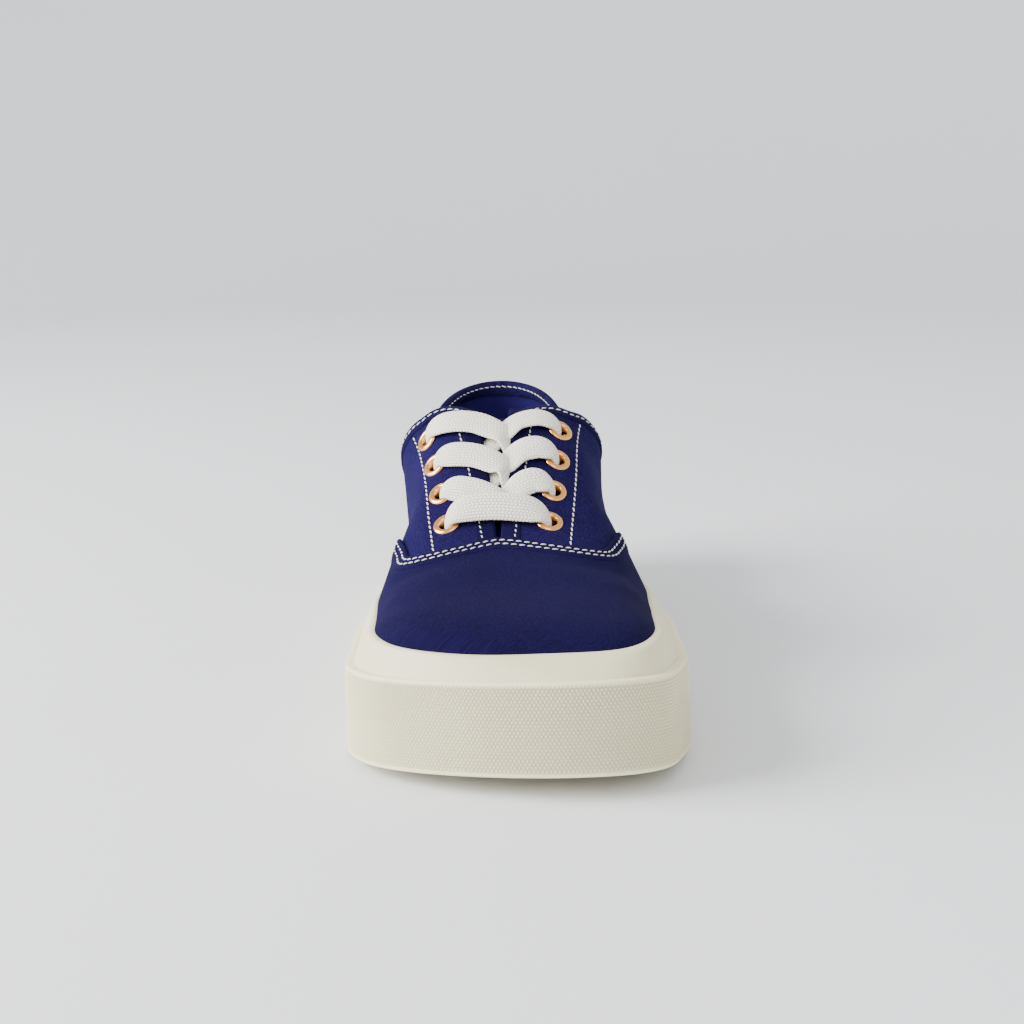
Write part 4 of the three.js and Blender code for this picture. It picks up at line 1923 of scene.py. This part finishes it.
@dataclass(frozen=True)
class Lace:
    """One flat lace: a bar through the first pair of eyelets, then crossing up to the last."""

    wide: float = 10.5
    thick: float = 2.2
    step: float = 0.42
    round: int = 52

    def strip(self, places: dict[tuple[int, Side], EyeletPlace], row: int, side: Side) -> list[list[float]]:
        """Ways of one visible strip and its hidden run down to the next row's far eyelet.

        A way is station, sideways place, lift, width and tilt in degrees.

        Args:
            places: the eyelets' places by row and side.
            row: row of the eyelet.
            side: side where the strip starts.

        Returns:
            The ways in order.
        """
        spot, below = places[row, side], places[row - 1, Side(-side.value)]
        s, e = side.value, abs(spot.aside)
        d, db, eb = spot.d, below.d, abs(below.aside)
        gap = float(THROAT.at(d - 11, "half")) - 0.8
        start = [[d, s * e, -3.6, 4.6, 0], [d, s * e, -1.4, 4.4, 0]]
        if side is Side.LATERAL:
            tilt = {2: 13.0, 3: 9.0, 4: 5.0}[row]
            ways = start + [
                [d - 0.6, s * (e - 1.2), 1.1, 6.2, 2], [d - 1.6, s * (e - 4.2), 2.2, 9.2, tilt * 0.8],
                [d - 3.3, s * (e * 0.6), 2.6, 10.3, tilt], [d - 5.4, s * 6.6, 2.5, 10.3, tilt],
                [d - 8.0, s * 1.8, 2.3, 10.2, tilt * 0.7], [d - 10.5, -s * 2.4, 1.5, 9.8, 2],
                [d - 12.8, -s * (gap + 1.0), -1.3, 8.8, 0],
            ]
        else:
            tilt = {2: 14.0, 3: 7.0, 4: -5.0}[row]
            up = {2: 0.5, 3: 0.3, 4: -0.3}[row]
            ways = start + [
                [d, s * (e - 1.2), 1.1 + up, 6.2, 2], [d + 0.2, s * (e - 4.2), 2.3 + up, 9.0, tilt * 0.8],
                [d + 0.5, s * (e * 0.62), 2.7 + up, 10.3, tilt], [d - 0.9, s * 7.8, 1.7 + up, 10.3, tilt],
                [d - 3.4, s * 4.0, -0.2, 10.0, tilt * 0.5], [d - 6.2, -s * 0.2, -2.0, 8.0, 0],
                [d - 9.0, -s * (gap + 0.8), -2.9, 7.4, 0],
            ]
        if row == 2:
            ways[-1][0] += 1.4
        under = 3.0 if row == 2 else 1.2
        hidden = [
            [db + under, -s * (THROAT.at(db, "half") + 4.0), -3.35, 6.8, 0],
            [db + 0.4, -s * (eb - 4.5), -3.4, 6.2, 0],
        ]
        return ways + [[float(a) for a in way] for way in hidden]

    def bar(self, places: dict[tuple[int, Side], EyeletPlace]) -> list[list[float]]:
        """Ways of the first bar, medial to lateral.

        Args:
            places: the eyelets' places by row and side.

        Returns:
            The ways in order.
        """
        halves = []
        for side in (Side.MEDIAL, Side.LATERAL):
            spot = places[1, side]
            d, e, s = spot.d, abs(spot.aside), side.value
            halves.append([
                [d, s * e, -3.6, 4.6, 0], [d, s * e, -1.4, 4.4, 0],
                [d, s * (e - 1.0), 1.1, 5.8, 4], [d + 0.7, s * (e - 4.0), 3.0, 8.8, 18],
                [d + 1.1, s * e * 0.5, 4.4, 10.3, 24],
            ])
        middle = (halves[0][0][0] + halves[1][0][0]) / 2
        return halves[0] + [[middle + 1.3, 0.0, 4.9, 10.3, 26]] + halves[1][::-1]

    def ways(self, places: dict[tuple[int, Side], EyeletPlace]) -> list[list[float]]:
        """The whole lace from one top eyelet to the other.

        Args:
            places: the eyelets' places by row and side.

        Returns:
            The ways in order.
        """
        down: list[list[float]] = []
        up: list[list[float]] = []
        side = Side.LATERAL
        for row in (4, 3, 2):
            down += self.strip(places, row, side)
            up = self.strip(places, row, Side(-side.value))[::-1] + up
            side = Side(-side.value)
        return down + self.bar(places) + up

    def sweep(self, ways: list[list[float]]) -> tuple[Array, float]:
        """Rings of the lace along its ways, and its length.

        The wide direction is the upper's lengthwise direction made square to the lace, with the
        rear edge lifted by the tilt.

        Args:
            ways: the ways in order.

        Returns:
            The rings, and the length in millimetres.
        """
        fine = spline(ways, len(ways) * 24)
        path = LAST.point(LAST.u_of(fine[:, 0]), LAST.v_aside(fine[:, 0], fine[:, 1]), fine[:, 2])
        s = along(path)
        t = np.linspace(0, s[-1], int(s[-1] / self.step))
        fine = np.stack([np.interp(t, s, fine[:, i]) for i in range(5)], -1)
        path = np.stack([np.interp(t, s, path[:, i]) for i in range(3)], -1)
        path = np.stack([smoothed(path[:, i], 4.0) for i in range(3)], -1)
        tangent = unit(np.gradient(path, axis=0))
        u, v = LAST.u_of(fine[:, 0]), LAST.v_aside(fine[:, 0], fine[:, 1])
        pu, _, normal = LAST.jacobian(u, v)
        wide = unit(pu - tangent * (pu * tangent).sum(-1, keepdims=True))
        out = normal - tangent * (normal * tangent).sum(-1, keepdims=True)
        out = out - wide * (out * wide).sum(-1, keepdims=True)
        tilt = np.radians(fine[:, 4])[:, None]
        wide = unit(wide * np.cos(tilt) + out * np.sin(tilt))
        wide = unit(np.stack([smoothed(wide[:, i], 7.0) for i in range(3)], -1))
        wide = unit(wide - tangent * (wide * tangent).sum(-1, keepdims=True))
        depth = np.cross(tangent, wide)
        turn = circle(self.round)
        c, q = np.cos(turn), np.sin(turn)
        across = np.sign(c) * np.abs(c) ** 0.75
        through = np.sign(q) * np.abs(q) ** 0.8
        width = fine[:, 3][:, None, None]
        bunch = np.clip((self.wide - width) / 6, 0, 1)
        thick = self.thick * (1 + 0.25 * bunch)
        rings = path[:, None] + wide[:, None] * (width / 2 * across[None, :, None])
        rings = rings + depth[:, None] * (thick / 2 * through[None, :, None])
        return rings, float(s[-1])

    def build(self, palette: Palette, places: Sequence[EyeletPlace]) -> bpy.types.Object:
        """Makes the lace.

        Args:
            palette: the finishes.
            places: the eyelets' places.

        Returns:
            The lace.
        """
        lookup = {(p.row, p.side): p for p in places}
        rings, length = self.sweep(self.ways(lookup))
        LOG.info("lace length %.0f mm", length)
        n = len(rings)
        s = np.arange(n) * self.step
        turn = circle(self.round)
        t = np.sign(np.cos(turn)) * np.abs(np.cos(turn)) ** 0.75 * self.wide / 2
        uv = np.stack([np.broadcast_to(s[:, None], (n, self.round)),
                       np.broadcast_to(t, (n, self.round))], -1)
        mesh = Mesh("Lace_braid")
        mesh.grid(rings, uv, ring=True)
        for end in (0, -1):
            mesh.cap(rings[end])
        made = mesh.build(palette.lace.material(), Slot.LACE)
        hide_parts("lace")
        return made


# -------------------------------------------------------------------------------- the set
@dataclass(frozen=True)
class Studio:
    """Camera, floor and lights."""

    eye: tuple[float, float, float] = (0.00042, -0.6187, 0.188)
    pitch: float = 78.0
    roll: float = -2.0
    lens: float = 60.82
    key_place: tuple[float, float, float] = (-1.5, -0.3, 0.8)
    key_power: float = 84.0
    key_size: float = 1.2
    front_place: tuple[float, float, float] = (0.25, -1.5, 1.15)
    front_power: float = 9.0
    front_size: float = 1.0
    fill: float = 1.08

    def camera(self) -> None:
        """Makes the camera and looks through it."""
        data = bpy.data.cameras.new("Camera")
        data.lens = self.lens
        data.sensor_width = 36.0
        data.clip_start = 0.01
        made = bpy.data.objects.new("Camera", data)
        turn = Matrix.Rotation(math.radians(self.pitch), 4, "X")
        turn = turn @ Matrix.Rotation(math.radians(self.roll), 4, "Z")
        made.matrix_world = Matrix.Translation(self.eye) @ turn
        bpy.context.scene.collection.objects.link(made)
        bpy.context.scene.camera = made

    def floor(self, palette: Palette) -> None:
        """A sheet that curves up into the background, all the way round.

        Args:
            palette: the finishes.
        """
        turn = circle(96)
        bend = np.linspace(0, np.pi / 2, 24)
        reach = np.concatenate([[0.0, 0.5, 1.1, 1.6], 1.6 + 1.2 * np.sin(bend[1:]), [2.8]])
        height = np.concatenate([np.zeros(4), 1.2 * (1 - np.cos(bend[1:])), [1.7]])
        x, y = np.outer(reach, np.cos(turn)), np.outer(reach, np.sin(turn))
        z = np.broadcast_to(height[:, None], x.shape) - 0.0002
        rows, cols = x.shape
        verts = np.stack([x, y, z], -1).reshape(-1, 3)
        i, j = np.meshgrid(np.arange(rows - 1), np.arange(cols), indexing="ij")
        k = (j + 1) % cols
        quads = np.stack([i * cols + j, i * cols + k, (i + 1) * cols + k, (i + 1) * cols + j], -1)
        faces = [tuple(q) for q in quads.reshape(-1, 4).tolist()]
        mesh = bpy.data.meshes.new("Studio_floor")
        mesh.from_pydata(verts.tolist(), [], faces)
        bm = bmesh.new()
        bm.from_mesh(mesh)
        bmesh.ops.remove_doubles(bm, verts=bm.verts, dist=1e-6)
        bm.to_mesh(mesh)
        bm.free()
        mesh.polygons.foreach_set("use_smooth", np.ones(len(mesh.polygons), bool))
        mesh.materials.append(palette.floor.material())
        made = bpy.data.objects.new("Studio_floor", mesh)
        bpy.context.scene.collection.objects.link(made)

    @staticmethod
    def panel(name: str, stand_at: tuple[float, float, float], power: float, size: float) -> None:
        """One square light panel turned towards the shoe.

        Args:
            name: the light's name.
            stand_at: its place in metres.
            power: its power in watts.
            size: its width in metres.
        """
        data = bpy.data.lights.new(name, "AREA")
        data.energy = power
        data.size = size
        made = bpy.data.objects.new(name, data)
        place = np.array(stand_at)
        aim = unit(np.array([0.0, -0.05, 0.04]) - place)
        side = unit(np.cross(aim, np.array([0.0, 0.0, 1.0])))
        up = np.cross(side, aim)
        frame = np.eye(4)
        frame[:3, :3] = np.stack([side, up, -aim], 1)
        frame[:3, 3] = place
        made.matrix_world = Matrix(frame.tolist())
        bpy.context.scene.collection.objects.link(made)

    def lights(self) -> None:
        """A soft key from the upper left and a pale sky."""
        self.panel("Key", self.key_place, self.key_power, self.key_size)
        self.panel("Front", self.front_place, self.front_power, self.front_size)
        world = bpy.data.worlds.new("Sky")
        world.use_nodes = True
        back = world.node_tree.nodes["Background"]
        back.inputs["Color"].default_value = (0.98, 0.99, 1.0, 1.0)
        back.inputs["Strength"].default_value = self.fill
        bpy.context.scene.world = world


def main() -> None:
    """Builds the whole scene."""
    logging.basicConfig(level=logging.INFO, format="%(name)s: %(message)s")
    studio, palette = Studio(), Palette()
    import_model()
    studio.camera()
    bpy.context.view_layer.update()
    eyelets = Eyelets()
    places = eyelets.places()
    Sole().build(palette)
    Foxing().build(palette)
    ToeStrip().build(palette)
    Insole().build(palette)
    Shell().build(palette, places)
    Vamp().build(palette)
    FacingHem().build(palette)
    Binding().build(palette)
    Stitches().build(palette)
    Tongue().build(palette)
    eyelets.build(palette)
    Lace().build(palette, places)
    studio.floor(palette)
    studio.lights()


if __name__ == "__main__":
    main()
